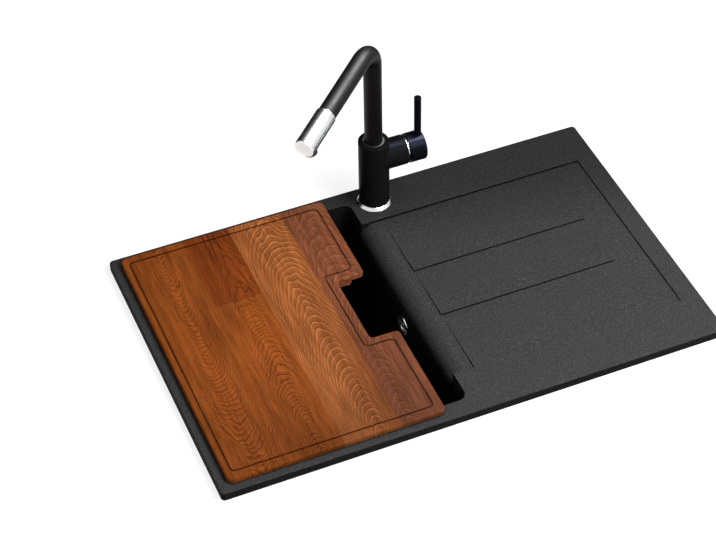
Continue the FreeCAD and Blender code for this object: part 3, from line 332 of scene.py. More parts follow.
class SharedEffects:
    """The effects that several finishes use, each a node group that is built once.

    Octaves are the detail and the roughness of a noise field.
    """

    FINE_OCTAVES: tuple[float, float] = (3.0, 0.7)
    COARSE_OCTAVES: tuple[float, float] = (2.0, 0.6)
    COARSE_SCALE: float = 0.37
    FINE_WEIGHT: float = 0.65
    GRAIN_EDGE: float = 0.12
    MARK_OCTAVES: tuple[float, float] = (5.0, 0.65)
    OPEN_RANGE: Range = (0.45, 0.85)
    CORNER_SAMPLES: int = 8

    def __init__(self) -> None:
        """Build the groups."""
        self.flecks = self._flecks()
        self.handling = self._handling()
        self.painted_crease_shade = self._build_painted_crease_shade()

    @staticmethod
    def _start(name: str, inputs: dict[str, str], outputs: dict[str, str]) -> tuple[Nodes, Node, Node]:
        """Make an empty group with named sockets.

        Args:
            name: The group's name.
            inputs: Socket types of its inputs by name.
            outputs: Socket types of its outputs by name.

        Returns:
            The wiring, the input node and the output node.
        """
        tree = bpy.data.node_groups.new(name, "ShaderNodeTree")
        for way, sockets in (("INPUT", inputs), ("OUTPUT", outputs)):
            for label, kind in sockets.items():
                tree.interface.new_socket(label, in_out=way, socket_type=kind)
        nodes = Nodes(tree)
        return nodes, nodes.add("NodeGroupInput"), nodes.add("NodeGroupOutput")

    def _flecks(self) -> Tree:
        """Build the fine grains of two sizes.

        Returns:
            The group, which gives a mask of the grains and a height for the bump.
        """
        nodes, given, made = self._start(
            "fine_flecks",
            {"Vector": PLACE, "Scale": NUMBER, "Threshold": NUMBER},
            {"Mask": NUMBER, "Height": NUMBER})
        place, scale = given.outputs["Vector"], given.outputs["Scale"]
        threshold = given.outputs["Threshold"]
        fine = nodes.noise(place, scale, *self.FINE_OCTAVES)
        coarse = nodes.noise(place, nodes.product(scale, self.COARSE_SCALE), *self.COARSE_OCTAVES)
        height = nodes.math("ADD", nodes.product(fine, self.FINE_WEIGHT),
                            nodes.product(coarse, 1.0 - self.FINE_WEIGHT))
        top = nodes.math("ADD", threshold, self.GRAIN_EDGE)
        nodes.feed(made.inputs["Mask"], nodes.spread(height, threshold, top))
        nodes.feed(made.inputs["Height"], height)
        return nodes.tree

    def _handling(self) -> Tree:
        """Build the uneven gloss of a handled surface.

        Returns:
            The group, which gives a gloss between two values.
        """
        nodes, given, made = self._start(
            "handling_marks",
            {"Vector": PLACE, "Scale": NUMBER, "Low": NUMBER, "High": NUMBER},
            {"Gloss": NUMBER})
        marks = nodes.noise(given.outputs["Vector"], given.outputs["Scale"], *self.MARK_OCTAVES)
        nodes.feed(made.inputs["Gloss"], nodes.vary(marks, given.outputs["Low"], given.outputs["High"]))
        return nodes.tree

    def _build_painted_crease_shade(self) -> Tree:
        """Build the shade in inner corners.

        Returns:
            The group, which gives 1 on open faces, down to a given level where faces meet.
        """
        nodes, given, made = self._start(
            "painted_corner_shade", {"Reach": NUMBER, "Low": NUMBER}, {"Shade": NUMBER})
        # Painted shade: ambient occlusion darkens the colour where faces meet.
        corner = nodes.add("ShaderNodeAmbientOcclusion", samples=self.CORNER_SAMPLES)
        nodes.feed(corner.inputs["Distance"], given.outputs["Reach"])
        shade = nodes.spread(corner.outputs["AO"], *self.OPEN_RANGE, given.outputs["Low"], 1.0)
        nodes.feed(made.inputs["Shade"], shade)
        return nodes.tree


def start_material(name: str) -> tuple[Material, Nodes, Node]:
    """Make a material.

    Args:
        name: The material's name.

    Returns:
        The material, its wiring and its shader.
    """
    material = bpy.data.materials.new(name)
    material.use_nodes = True
    return material, Nodes(material.node_tree), material.node_tree.nodes["Principled BSDF"]


@dataclass(frozen=True)
class Sample:
    """A finish in the making: its wiring, its shader, the Object coordinate and the shared effects."""

    nodes: Nodes
    shader: Node
    place: Socket
    effects: SharedEffects

    def set(self, socket: str, source: Source) -> None:
        """Feed one socket of the shader."""
        self.nodes.feed(self.shader.inputs[socket], source)

    def flecks(self, scale: float, threshold: float) -> tuple[Socket, Socket]:
        """Return the mask and the height of grains, for a number per metre and a starting level."""
        node = self.nodes.group(self.effects.flecks, Vector=self.place, Scale=scale, Threshold=threshold)
        return node.outputs["Mask"], node.outputs["Height"]

    def crease_painted_shade(self, reach: float, low: float) -> Socket:
        """Return the painted shade of inner corners, down to a low level, within a reach."""
        return self.nodes.group(self.effects.painted_crease_shade, Reach=reach, Low=low).outputs["Shade"]

    def marks(self, place: Socket, scale: float, limits: Range) -> Socket:
        """Return a value that varies between two limits as on a handled surface."""
        sources = {"Vector": place, "Scale": scale, "Low": limits[0], "High": limits[1]}
        return self.nodes.group(self.effects.handling, **sources).outputs["Gloss"]

    def polish(self, gloss: Range, scale: float, place: Optional[Socket] = None) -> None:
        """Give the shader an uneven roughness.

        Args:
            gloss: The lowest and the highest roughness.
            scale: Marks per metre.
            place: Where the marks are sampled, if not at the Object coordinate.
        """
        self.set("Roughness", self.marks(self.place if place is None else place, scale, gloss))

    def relief(self, height: Socket, depth: float) -> None:
        """Give the shader a bump.

        Args:
            height: The bump's height, from 0 to 1.
            depth: How deep the full height is.
        """
        bump = self.nodes.add("ShaderNodeBump")
        bump.inputs["Distance"].default_value = depth
        bump.inputs["Strength"].default_value = 1.0
        self.nodes.feed(bump.inputs["Height"], height)
        self.set("Normal", bump.outputs[0])


@dataclass(frozen=True)
class Finish:
    """What every finish has: a name, a specular level and a way to make its material."""

    name: str
    specular: float = 0.5

    def build(self, effects: SharedEffects) -> Material:
        """Make the material.

        Args:
            effects: The shared node groups.

        Returns:
            The finished material.
        """
        material, nodes, shader = start_material(self.name)
        shader.inputs["Specular IOR Level"].default_value = self.specular
        place = nodes.add("ShaderNodeTexCoord").outputs["Object"]
        self.wire(Sample(nodes, shader, place, effects))
        return material

    def wire(self, work: Sample) -> None:
        """Wire what the finish has of its own."""
        raise NotImplementedError


@dataclass(frozen=True)
class CastStone(Finish):
    """Dark composite stone with fine pale grains and a rough silk face.

    Painted shade darkens it on upright faces, in inner corners and along the far way, toward the back
    right.
    """

    ground: Colour = (0.033, 0.0325, 0.033)
    grain: Colour = (0.100, 0.098, 0.099)
    grains_per_metre: float = 1280.0
    grain_threshold: float = 0.50
    clouds_per_metre: float = 9.0
    cloud_shares: Range = (0.9, 1.0)
    gloss: Range = (0.55, 0.70)
    marks_per_metre: float = 1500.0
    relief_depth: float = 0.10 * MILLIMETRE
    # Painted shade in inner corners: how far it reaches and how dark it gets.
    crease_shade_reach: float = 6.0 * MILLIMETRE
    painted_crease_level: float = 0.30
    # Painted shade on upright faces: the range of the normal's up part over which it sets in, and how dark
    # it gets.
    side_shade_range: Range = (0.1, 0.5)
    painted_side_level: float = 0.30
    # Painted shade toward the back right, where the light falls off: its way, its range and how dark it
    # gets.
    far_shade_way: Triple = (0.25, 1.0, 0.0)
    far_shade_range: Range = (0.09, 0.26)
    painted_far_level: float = 0.60

    def wire(self, work: Sample) -> None:
        """Wire the grains, the painted shades and the relief.

        Args:
            work: The finish in the making.
        """
        nodes = work.nodes
        mask, height = work.flecks(self.grains_per_metre, self.grain_threshold)
        cloud = nodes.vary(nodes.noise(work.place, self.clouds_per_metre), *self.cloud_shares)
        tone = nodes.blend(nodes.product(mask, cloud), self.ground, self.grain)
        # Painted shade: inner corners, upright faces and the far part darken the colour.
        crease_painted_shade = work.crease_painted_shade(self.crease_shade_reach, self.painted_crease_level)
        shade = nodes.product(crease_painted_shade, self._painted_side_shade(nodes), self._painted_far_shade(nodes, work.place))
        work.set("Base Color", nodes.shaded(tone, shade))
        work.polish(self.gloss, self.marks_per_metre)
        work.relief(height, self.relief_depth)

    def _painted_side_shade(self, nodes: Nodes) -> Socket:
        """Paint shade on the upright faces.

        Args:
            nodes: The material's wiring.

        Returns:
            1 on level faces, down to the painted side shade on upright ones.
        """
        normal = nodes.add("ShaderNodeNewGeometry").outputs["True Normal"]
        level = nodes.math("ABSOLUTE", nodes.axes(normal)[2])
        return nodes.spread(level, *self.side_shade_range, self.painted_side_level, 1.0)

    def _painted_far_shade(self, nodes: Nodes, place: Socket) -> Socket:
        """Paint shade onto the stone toward the back right, as the photograph shows it.

        Args:
            nodes: The material's wiring.
            place: The Object coordinate.

        Returns:
            1 from the front left, down to the painted far shade at the back right.
        """
        along = nodes.add("ShaderNodeVectorMath", operation="DOT_PRODUCT")
        nodes.feed(along.inputs[0], place)
        along.inputs[1].default_value = self.far_shade_way
        return nodes.spread(along.outputs["Value"], *self.far_shade_range, 1.0, self.painted_far_level)


@dataclass(frozen=True)
class Plank:
    """One piece of wood: its ground, the tone of its growth lines, and how it was cut from the trunk.

    The heart of the trunk runs under the board at a share of its width and leans along it. Spacing is
    the width of one ring, and wander is how far the lines stray, from 0 to 1.
    """

    ground: Colour
    line: Colour
    heart_share: float
    lean: float
    spacing: float
    wander: float


@dataclass(frozen=True)
class Stave:
    """One glued strip of the board: where it starts, and the two planks it is joined from.

    A stave of one plank has its joint off the board.
    """

    start_share: float
    joint: float
    back: Plank
    front: Plank


# A joint that lies past the board's end.
OFF_BOARD = -0.60
# Each wood's ground and the tone of its lines.
AMBER = ((0.325, 0.082, 0.0130), (0.100, 0.019, 0.0026))
RUSSET = ((0.275, 0.058, 0.0090), (0.085, 0.015, 0.0022))
GOLDEN = ((0.285, 0.078, 0.0190), (0.520, 0.200, 0.0620))
PLUM = ((0.205, 0.062, 0.0270), (0.290, 0.105, 0.0470))
# Each plank's wood, the share and lean of its heart, its spacing and its wander.
LEFT_PLANK = Plank(*AMBER, 0.16, -0.17, 1.6 * MILLIMETRE, 0.75)
RUSSET_PLANK = Plank(*RUSSET, 0.45, 0.05, 2.2 * MILLIMETRE, 0.8)
AMBER_PLANK = Plank(*AMBER, 0.43, 0.18, 1.7 * MILLIMETRE, 0.80)
ARCHED_PLANK = Plank(*GOLDEN, 0.690, 0.18, 2.7 * MILLIMETRE, 0.10)
BACK_PLUM_PLANK = Plank(*PLUM, 0.90, 0.17, 3.0 * MILLIMETRE, 0.3)
FRONT_PLUM_PLANK = Plank(*PLUM, 0.84, 0.19, 3.0 * MILLIMETRE, 0.35)
STAVES = (
    Stave(0.0, OFF_BOARD, LEFT_PLANK, LEFT_PLANK),
    Stave(0.300, 0.085, RUSSET_PLANK, AMBER_PLANK),
    Stave(0.520, OFF_BOARD, ARCHED_PLANK, ARCHED_PLANK),
    Stave(0.787, -0.085, BACK_PLUM_PLANK, FRONT_PLUM_PLANK),
)


@dataclass(frozen=True)
class StavedWood(Finish):
    """Oiled hardwood of glued staves, each cut from its own trunk, with rings, fibre and pores."""

    left: float = field(kw_only=True)
    right: float = field(kw_only=True)
    staves: tuple[Stave, ...] = STAVES
    widest_spacing: float = 10.0 * MILLIMETRE
    steepest_lean: float = 0.5
    heart_depth: float = 95.0 * MILLIMETRE
    flattening: float = 1.4
    bends: Pattern = Pattern((20.0, 8.0, 20.0), 2.0, 0.4)
    sway: float = 14.0 * MILLIMETRE
    side_sway: float = 0.4
    ripples: Pattern = Pattern((75.0, 30.0, 75.0), 4.0, 0.6, (3.1, 1.7, 0.4))
    ripple: float = 4.0 * MILLIMETRE
    gaps: Pattern = Pattern((30.0, 14.0, 30.0), shift=(7.3, 2.9, 0.8))
    gap_range: Range = (0.2, 0.8)
    unevenness: float = 0.012
    line_start: float = 0.70
    line_peak: float = 0.85
    line_fall: float = 0.9
    fine_rate: float = 2.7
    fine_start: float = 0.3
    fine_share: float = 0.35
    trough_end: float = 0.4
    trough_shade: float = 0.28
    fibre: Pattern = Pattern((900.0, 26.0, 900.0), 4.0, 0.65)
    fibre_range: Range = (0.25, 0.75)
    fibre_tones: Range = (0.66, 1.34)
    streaks: Pattern = Pattern((130.0, 9.0, 130.0), 3.0, 0.6)
    streak_tones: Range = (0.78, 1.18)
    clouds: Pattern = Pattern((11.0, 5.0, 11.0), 3.0)
    cloud_tones: Range = (0.80, 1.18)
    patches: Pattern = Pattern((24.0, 12.0, 24.0))
    patch_range: Range = (0.3, 0.65)
    patch_tone: float = 0.6
    pores: Pattern = Pattern((1300.0, 110.0, 1300.0), 1.0)
    pore_range: Range = (0.62, 0.72)
    pore_share: float = 0.5
    pore: Colour = (0.050, 0.013, 0.004)
    # Painted shade in inner corners and the groove: how far it reaches and how dark it gets.
    crease_shade_reach: float = 4.0 * MILLIMETRE
    painted_crease_level: float = 0.22
    flank_from: float = 10.0 * MILLIMETRE
    flank_to: float = 45.0 * MILLIMETRE
    flank_tone: float = 0.80
    dark_end: float = -0.240
    pale_from: float = -0.040
    end_tone: float = 0.68
    joint_half_width: float = 0.25 * MILLIMETRE
    joint_share: float = 0.35
    seam_share: float = 0.4
    gloss: Range = (0.40, 0.55)
    marks_per_metre: float = 26.0
    relief_depth: float = 0.06 * MILLIMETRE

    def wire(self, work: Sample) -> None:
        """Wire the staves, their rings, the fibre and the pores.

        Args:
            work: The finish in the making.
        """
        nodes, place = work.nodes, work.place
        across, along, _ = nodes.axes(place)
        width = self.right - self.left
        share = nodes.math("DIVIDE", nodes.math("SUBTRACT", across, self.left), width)
        ground, line, heart, cut, joint = self._planks(nodes, share, along)
        offset = nodes.product(nodes.math("SUBTRACT", share, heart), width)
        rings, troughs = self._rings(nodes, place, offset, along, cut)
        fibre = nodes.pattern(place, self.fibre)
        pores = nodes.spread(nodes.pattern(place, self.pores), *self.pore_range)
        fade = nodes.spread(nodes.pattern(place, self.patches), *self.patch_range, self.patch_tone, 1.0)
        tone = nodes.blend(nodes.product(rings, fade), ground, line)
        shade = nodes.product(
            nodes.spread(fibre, *self.fibre_range, *self.fibre_tones),
            nodes.vary(nodes.pattern(place, self.streaks), *self.streak_tones),
            nodes.vary(nodes.pattern(place, self.clouds), *self.cloud_tones),
            nodes.spread(along, self.dark_end, self.pale_from, self.end_tone, 1.0),
            nodes.spread(nodes.product(troughs, fade), 0.0, 1.0, 1.0, 1.0 - self.trough_shade),
            # Painted shade in the groove and the inner corners.
            work.crease_painted_shade(self.crease_shade_reach, self.painted_crease_level))
        tone = nodes.shaded(tone, shade)
        tone = nodes.blend(nodes.product(pores, self.pore_share), tone, self.pore)
        seams = nodes.math("MAXIMUM", self._seams(nodes, across, width), joint)
        work.set("Base Color", nodes.blend(seams, tone, self.pore))
        work.polish(self.gloss, self.marks_per_metre)
        work.relief(nodes.math("SUBTRACT", fibre, pores), self.relief_depth)

    def _planks(self, nodes: Nodes, share: Socket,
                along: Socket) -> tuple[Socket, Socket, Socket, Socket, Socket]:
        """Find which plank a point belongs to.

        Args:
            nodes: The material's wiring.
            share: Place across the board, from 0 to 1.
            along: Distance along the board.

        Returns:
            The plank's ground, its line tone, its heart's place, its lean, spacing and wander as one
            colour, and a mask of the butt joint between the two planks of a stave.
        """
        starts = [stave.start_share for stave in self.staves]
        levels = [((stave.joint + 1.0) / 2.0,) * 3 for stave in self.staves]
        level = nodes.ramp(share, list(zip(starts, levels)))
        joint = nodes.math("SUBTRACT", nodes.product(level, 2.0), 1.0)
        past = nodes.math("SUBTRACT", along, joint)
        behind = nodes.math("GREATER_THAN", past, 0.0)
        fronts = [stave.front for stave in self.staves]
        backs = [stave.back for stave in self.staves]
        traits = (
            lambda plank: plank.ground,
            lambda plank: plank.line,
            lambda plank: (plank.heart_share,) * 3,
            self._cut,
        )
        picked = []
        for trait in traits:
            front = nodes.ramp(share, list(zip(starts, map(trait, fronts))))
            back = nodes.ramp(share, list(zip(starts, map(trait, backs))))
            picked.append(nodes.blend(behind, front, back))
        return *picked, self._thin_line(nodes, past, self.joint_share)

    def _cut(self, plank: Plank) -> Colour:
        """Return a plank's lean, spacing and wander, each from 0 to 1."""
        lean = 0.5 + 0.5 * plank.lean / self.steepest_lean
        return lean, plank.spacing / self.widest_spacing, plank.wander

    def _rings(self, nodes: Nodes, place: Socket, offset: Socket, along: Socket,
               cut: Socket) -> tuple[Socket, Socket]:
        """Cut the growth rings of a leaning trunk.

        Args:
            nodes: The material's wiring.
            place: The Object coordinate.
            offset: Distance from the plank's heart line, across the board.
            along: Distance along the board.
            cut: Lean, spacing and wander of the plank.

        Returns:
            A value from 0 between the growth lines to 1 on them, and one that marks the darker wood
            just past each line.
        """
        traits = nodes.add("ShaderNodeSeparateColor")
        nodes.feed(traits.inputs[0], cut)
        lean, spacing, wander = traits.outputs[0], traits.outputs[1], traits.outputs[2]
        slope = nodes.product(nodes.math("SUBTRACT", lean, 0.5), 2.0 * self.steepest_lean)
        bend = nodes.product(nodes.math("SUBTRACT", nodes.pattern(place, self.bends), 0.5), self.sway)
        depth = nodes.math("ADD", nodes.product(along, slope), self.heart_depth)
        depth = nodes.math("ADD", depth, bend)
        side = nodes.math("ADD", offset, nodes.product(bend, self.side_sway))
        side = nodes.product(side, self.flattening)
        square = nodes.math("ADD", nodes.product(side, side), nodes.product(depth, depth))
        ripple = nodes.math("SUBTRACT", nodes.pattern(place, self.ripples), 0.5)
        stray = nodes.product(ripple, nodes.product(wander, self.ripple))
        radius = nodes.math("ADD", nodes.math("SQRT", square), stray)
        turns = nodes.math("DIVIDE", radius, nodes.product(spacing, self.widest_spacing))
        gaps = nodes.spread(nodes.pattern(place, self.gaps), *self.gap_range, 1.0 - self.unevenness,
                            1.0 + self.unevenness)
        turns = nodes.product(turns, gaps)
        phase = nodes.math("FRACT", turns)
        main = self._ridge(nodes, phase, self.line_start)
        fine_phase = nodes.math("FRACT", nodes.product(turns, self.fine_rate))
        fine = self._ridge(nodes, fine_phase, self.fine_start)
        lines = nodes.math("MAXIMUM", main, nodes.product(fine, self.fine_share))
        away = nodes.math("ABSOLUTE", offset)
        flank = nodes.spread(away, self.flank_from, self.flank_to, 1.0, self.flank_tone)
        return nodes.product(lines, flank), nodes.spread(phase, 0.0, self.trough_end, 1.0, 0.0)

    def _ridge(self, nodes: Nodes, phase: Socket, start: float) -> Socket:
        """Return a line that swells slowly from a start within one ring and ends sharply."""
        rise = nodes.spread(phase, start, self.line_peak)
        return nodes.product(rise, nodes.spread(phase, self.line_fall, 1.0, 1.0, 0.0))

    def _thin_line(self, nodes: Nodes, away: Socket, strength: float) -> Socket:
        """Return a mask of a glued joint, of a given strength at no distance from it."""
        return nodes.spread(nodes.math("ABSOLUTE", away), 0.0, 2.0 * self.joint_half_width, strength, 0.0)

    def _seams(self, nodes: Nodes, across: Socket, width: float) -> Socket:
        """Find the thin glue lines between the staves.

        Args:
            nodes: The material's wiring.
            across: Distance across the board.
            width: The board's width.

        Returns:
            A mask of the lines.
        """
        mask: Optional[Socket] = None
        for stave in self.staves[1:]:
            away = nodes.math("SUBTRACT", across, self.left + width * stave.start_share)
            line = self._thin_line(nodes, away, self.seam_share)
            mask = line if mask is None else nodes.math("MAXIMUM", mask, line)
        return mask


class MetalGrain(Enum):
    """How a metal surface was worked: the stretch of its marks along X, Y and Z."""

    POLISHED = (1.0, 1.0, 1.0)
    TURNED = (0.05, 0.05, 1.0)


@dataclass(frozen=True)
class Metal(Finish):
    """Bare or plated metal with marks of its working."""

    colour: Colour = (0.72, 0.73, 0.75)
    stain: Colour = (0.55, 0.56, 0.58)
    stains_per_metre: float = 35.0
    stain_shares: Range = (0.0, 0.35)
    gloss: Range = field(kw_only=True)
    grain: MetalGrain = MetalGrain.POLISHED
    marks_per_metre: float = 160.0
    relief_fineness: float = 12.0
    relief_depth: float = 0.004 * MILLIMETRE

    def wire(self, work: Sample) -> None:
        """Wire the metal's tone, its marks and its relief.

        Args:
            work: The finish in the making.
        """
        nodes = work.nodes
        work.set("Metallic", 1.0)
        worked = nodes.stretch(work.place, self.grain.value)
        work.polish(self.gloss, self.marks_per_metre, worked)
        stains = work.marks(work.place, self.stains_per_metre, self.stain_shares)
        work.set("Base Color", nodes.blend(stains, self.colour, self.stain))
        work.relief(nodes.noise(worked, self.relief_fineness * self.marks_per_metre), self.relief_depth)


@dataclass(frozen=True)
class Lacquer(Finish):
    """Black coating on the tap, from powdery matt to smooth gloss."""

    colour: Colour = field(kw_only=True)
    worn: Colour = (0.010, 0.010, 0.011)
    worn_threshold: float = 0.55
    gloss: Range = field(kw_only=True)
    marks_per_metre: float = 60.0
    texture_per_metre: float = 2600.0
    relief_depth: float = 0.01 * MILLIMETRE
    sheen: Colour = (1.0, 1.0, 1.0)

    def wire(self, work: Sample) -> None:
        """Wire the coating's tone, its gloss and its texture.

        Args:
            work: The finish in the making.
        """
        work.shader.inputs["Specular Tint"].default_value = (*self.sheen, 1.0)
        mask, height = work.flecks(self.texture_per_metre, self.worn_threshold)
        work.set("Base Color", work.nodes.blend(mask, self.colour, self.worn))
        work.polish(self.gloss, self.marks_per_metre)
        work.relief(height, self.relief_depth)


@dataclass(frozen=True)
class Moulding(Finish):
    """Moulded plastic or rubber with a fine grained skin, which may glow with painted light."""

    colour: Colour = field(kw_only=True)
    shade: Colour = field(kw_only=True)
    shade_threshold: float = 0.5
    gloss: Range = (0.45, 0.6)
    marks_per_metre: float = 90.0
    texture_per_metre: float = 1800.0
    relief_depth: float = 0.02 * MILLIMETRE
    # Painted light: the skin glows in its own tone, though it is no lamp.
    painted_glow: float = 0.0

    def wire(self, work: Sample) -> None:
        """Wire the skin's tone, its painted glow, its gloss and its texture.

        Args:
            work: The finish in the making.
        """
        mask, height = work.flecks(self.texture_per_metre, self.shade_threshold)
        tone = work.nodes.blend(mask, self.colour, self.shade)
        work.set("Base Color", tone)
        # Painted light: the skin's tone is also given off as emission.
        work.set("Emission Color", tone)
        work.set("Emission Strength", self.painted_glow)
        work.polish(self.gloss, self.marks_per_metre)
        work.relief(height, self.relief_depth)


class Paintbox:
    """The finishes of the sink, each built once."""

    def __init__(self, board_box: tuple[Vector, Vector]) -> None:
        """Build every material.

        Args:
            board_box: Lowest and highest corner of the board, which its staves divide.
        """
        effects = SharedEffects()
        finishes = (
            CastStone("cast_stone", specular=0.012),
            StavedWood("oiled_staves", specular=0.010, left=board_box[0].x, right=board_box[1].x),
            Metal("chrome_plate", gloss=(0.19, 0.24), relief_depth=0.0008 * MILLIMETRE),
            Metal("stainless_steel", colour=(0.55, 0.55, 0.55), stain=(0.42, 0.42, 0.43),
                  gloss=(0.22, 0.34), grain=MetalGrain.TURNED),
            Metal("turned_brass", colour=(0.62, 0.43, 0.17), stain=(0.45, 0.30, 0.12),
                  gloss=(0.24, 0.38), grain=MetalGrain.TURNED),
            Lacquer("satin_black", specular=0.15, colour=(0.0022, 0.0022, 0.0025),
                    worn=(0.0045, 0.0045, 0.0050), gloss=(0.44, 0.52)),
            Lacquer("deep_black", specular=0.012, colour=(0.0078, 0.0076, 0.0080),
                    worn=(0.013, 0.013, 0.013), gloss=(0.24, 0.32), sheen=(0.50, 0.58, 1.0)),
            Lacquer("gloss_black", specular=0.05, colour=(0.004, 0.0045, 0.0065), gloss=(0.24, 0.32),
                    relief_depth=0.002 * MILLIMETRE, sheen=(0.50, 0.58, 1.0)),
            Moulding("black_rubber", specular=0.3, colour=(0.012, 0.012, 0.012),
                     shade=(0.022, 0.022, 0.022), gloss=(0.6, 0.8)),
            Moulding("grey_plastic", colour=(0.21, 0.22, 0.23), shade=(0.17, 0.18, 0.19)),
            Moulding("white_plastic", colour=(0.62, 0.62, 0.60), shade=(0.55, 0.55, 0.53),
                     gloss=(0.3, 0.45)),
            # The cap's glow is painted light, which brightens it though it is no lamp.
            Moulding("pearl_cap", colour=(0.93, 0.93, 0.94), shade=(0.90, 0.90, 0.91),
                     gloss=(0.22, 0.32), painted_glow=0.46),
            Moulding("dark_plastic", colour=(0.03, 0.03, 0.032), shade=(0.02, 0.02, 0.021),
                     gloss=(0.35, 0.5)),
        )
        self.materials = {finish.name: finish.build(effects) for finish in finishes}

    def paint(self, node: str, finish: str) -> None:
        """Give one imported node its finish.

        Args:
            node: The node's name.
            finish: The finish's name.
        """
        data = frame["nodes"][node].data
        data.materials.clear()
        data.materials.append(self.materials[finish])
        LOG.info("%s takes %s", node, finish)


def open_primitive(name: str, add: Callable[..., object], **settings: object) -> Piece:
    """Add a primitive and open it in edit mode, all of it selected and nothing else.

    Args:
        name: The new object's name.
        add: The operator that adds the primitive.
        settings: What the operator takes.

    Returns:
        The new object.
    """
    bpy.ops.object.select_all(action="DESELECT")
    add(**settings)
    piece = bpy.context.object
    piece.name = name
    bpy.ops.object.mode_set(mode="EDIT")
    bpy.ops.mesh.select_all(action="SELECT")
    return piece


class Workbench:
    """Modelling steps that the new pieces share. A finished piece sits at the origin, unturned."""

    SMOOTH_ANGLE: float = math.radians(40.0)
    MERGE_DISTANCE: float = 0.001 * MILLIMETRE

    def __init__(self, paints: Paintbox) -> None:
        """Keep the finishes that the pieces take."""
        self.paints = paints

    @staticmethod
    def pick(piece: Piece) -> None:
        """Select one object alone and make it active.

        Args:
            piece: The object.
        """
        bpy.ops.object.select_all(action="DESELECT")
        piece.select_set(True)
        bpy.context.view_layer.objects.active = piece

    def settle(self, piece: Piece) -> None:
        """Write an object's place, turn and size into its vertices."""
        self.pick(piece)
        bpy.ops.object.transform_apply(location=True, rotation=True, scale=True)

    def turn(self, name: str, profile: Profile, ring: bool, sides: int = 96) -> Piece:
        """Turn a profile about the Z axis.

        Args:
            name: The piece's name.
            profile: Radius and height pairs, in order along the section.
            ring: True to close the section on itself, False to cap both its ends.
            sides: Facets round the axis.

        Returns:
            The turned object.
        """
        radius, height = profile[0]
        piece = open_primitive(name, bpy.ops.mesh.primitive_circle_add, vertices=sides, radius=radius,
                               location=(0.0, 0.0, height))
        for wide, high in profile[1:] + (profile[:1] if ring else []):
            growth = wide / radius
            bpy.ops.mesh.extrude_edges_move(TRANSFORM_OT_translate={"value": (0.0, 0.0, high - height)})
            bpy.ops.transform.resize(value=(growth, growth, 1.0), center_override=(0.0, 0.0, high))
            radius, height = wide, high
        bpy.ops.mesh.select_all(action="SELECT")
        if ring:
            bpy.ops.mesh.remove_doubles(threshold=self.MERGE_DISTANCE)
        else:
            bpy.ops.mesh.fill_holes(sides=0)
        self.close(piece)
        return piece

    def close(self, piece: Piece) -> None:
        """Turn all faces outwards, leave edit mode and settle the piece.

        Args:
            piece: The piece that is open in edit mode.
        """
        bpy.ops.mesh.select_all(action="SELECT")
        bpy.ops.mesh.normals_make_consistent(inside=False)
        bpy.ops.object.mode_set(mode="OBJECT")
        self.settle(piece)

    @staticmethod
    def repeat_round(copies: int) -> None:
        """Repeat the selected edit-mode mesh evenly round the Z axis.

        Args:
            copies: How often the mesh is there in the end.
        """
        step = 2.0 * math.pi / copies
        for _ in range(copies - 1):
            bpy.ops.mesh.duplicate()
            bpy.ops.transform.rotate(value=step, orient_axis="Z", center_override=ORIGIN)

    def modify(self, piece: Piece, kind: str, **settings: object) -> None:
        """Put a modifier on a piece and apply it.

        Args:
            piece: The piece that changes.
            kind: The modifier's type.
            settings: The modifier's properties.
        """
        self.pick(piece)
        modifier = piece.modifiers.new(kind.lower(), kind)
        for name, setting in settings.items():
            setattr(modifier, name, setting)
        bpy.ops.object.modifier_apply(modifier=modifier.name)

    def round_edges(self, piece: Piece, width: float, segments: int) -> None:
        """Round the sharp edges of a piece, over a width and in a number of steps."""
        self.modify(piece, "BEVEL", width=width, segments=segments, limit_method="ANGLE")

    def finish(self, piece: Piece, finish: str, body: str, slot: str, at: Vector,
               axis: Vector = UP) -> None:
        """Stand a piece in its place, shade and paint it, and let it ride a body.

        Args:
            piece: The piece, modelled about the origin with its axis along Z.
            finish: Name of its material.
            body: The body that carries it.
            slot: Name of a material slot; not used.
            at: Where its origin goes.
            axis: Where its Z axis points.
        """
        turn = axis.to_track_quat("Z", "Y").to_matrix().to_4x4()
        piece.matrix_world = Matrix.Translation(at) @ turn
        self.settle(piece)
        bpy.ops.object.shade_smooth_by_angle(angle=self.SMOOTH_ANGLE)
        piece.data.materials.append(self.paints.materials[finish])
        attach(piece, body)
        LOG.info("%s made, %d faces", piece.name, len(piece.data.polygons))


def arc(middle: tuple[float, float], radii: tuple[float, float], start: float, end: float,
        chords: int) -> Profile:
    """Points along a stretch of an ellipse.

    Args:
        middle: Its centre.
        radii: Its half widths.
        start: First angle, in degrees.
        end: Last angle, in degrees.
        chords: Number of straight steps.

    Returns:
        The points in order, both ends included.
    """
    points = []
    for step in range(chords + 1):
        turn = math.radians(start + (end - start) * step / chords)
        points.append((middle[0] + radii[0] * math.cos(turn), middle[1] + radii[1] * math.sin(turn)))
    return points


def end_face(node: str, axis: Vector, flatness: float = 0.01 * MILLIMETRE) -> Vector:
    """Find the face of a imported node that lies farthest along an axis.

    Args:
        node: The node's name.
        axis: The axis.
        flatness: How far behind the farthest point the face's other points may lie.

    Returns:
        The face's centre.
    """
    points = [vertex.co for vertex in frame["nodes"][node].data.vertices]
    farthest = max(point.dot(axis) for point in points)
    edge = [point for point in points if farthest - point.dot(axis) < flatness]
    low = Vector([min(point[i] for point in edge) for i in range(3)])
    high = Vector([max(point[i] for point in edge) for i in range(3)])
    return (low + high) / 2.0


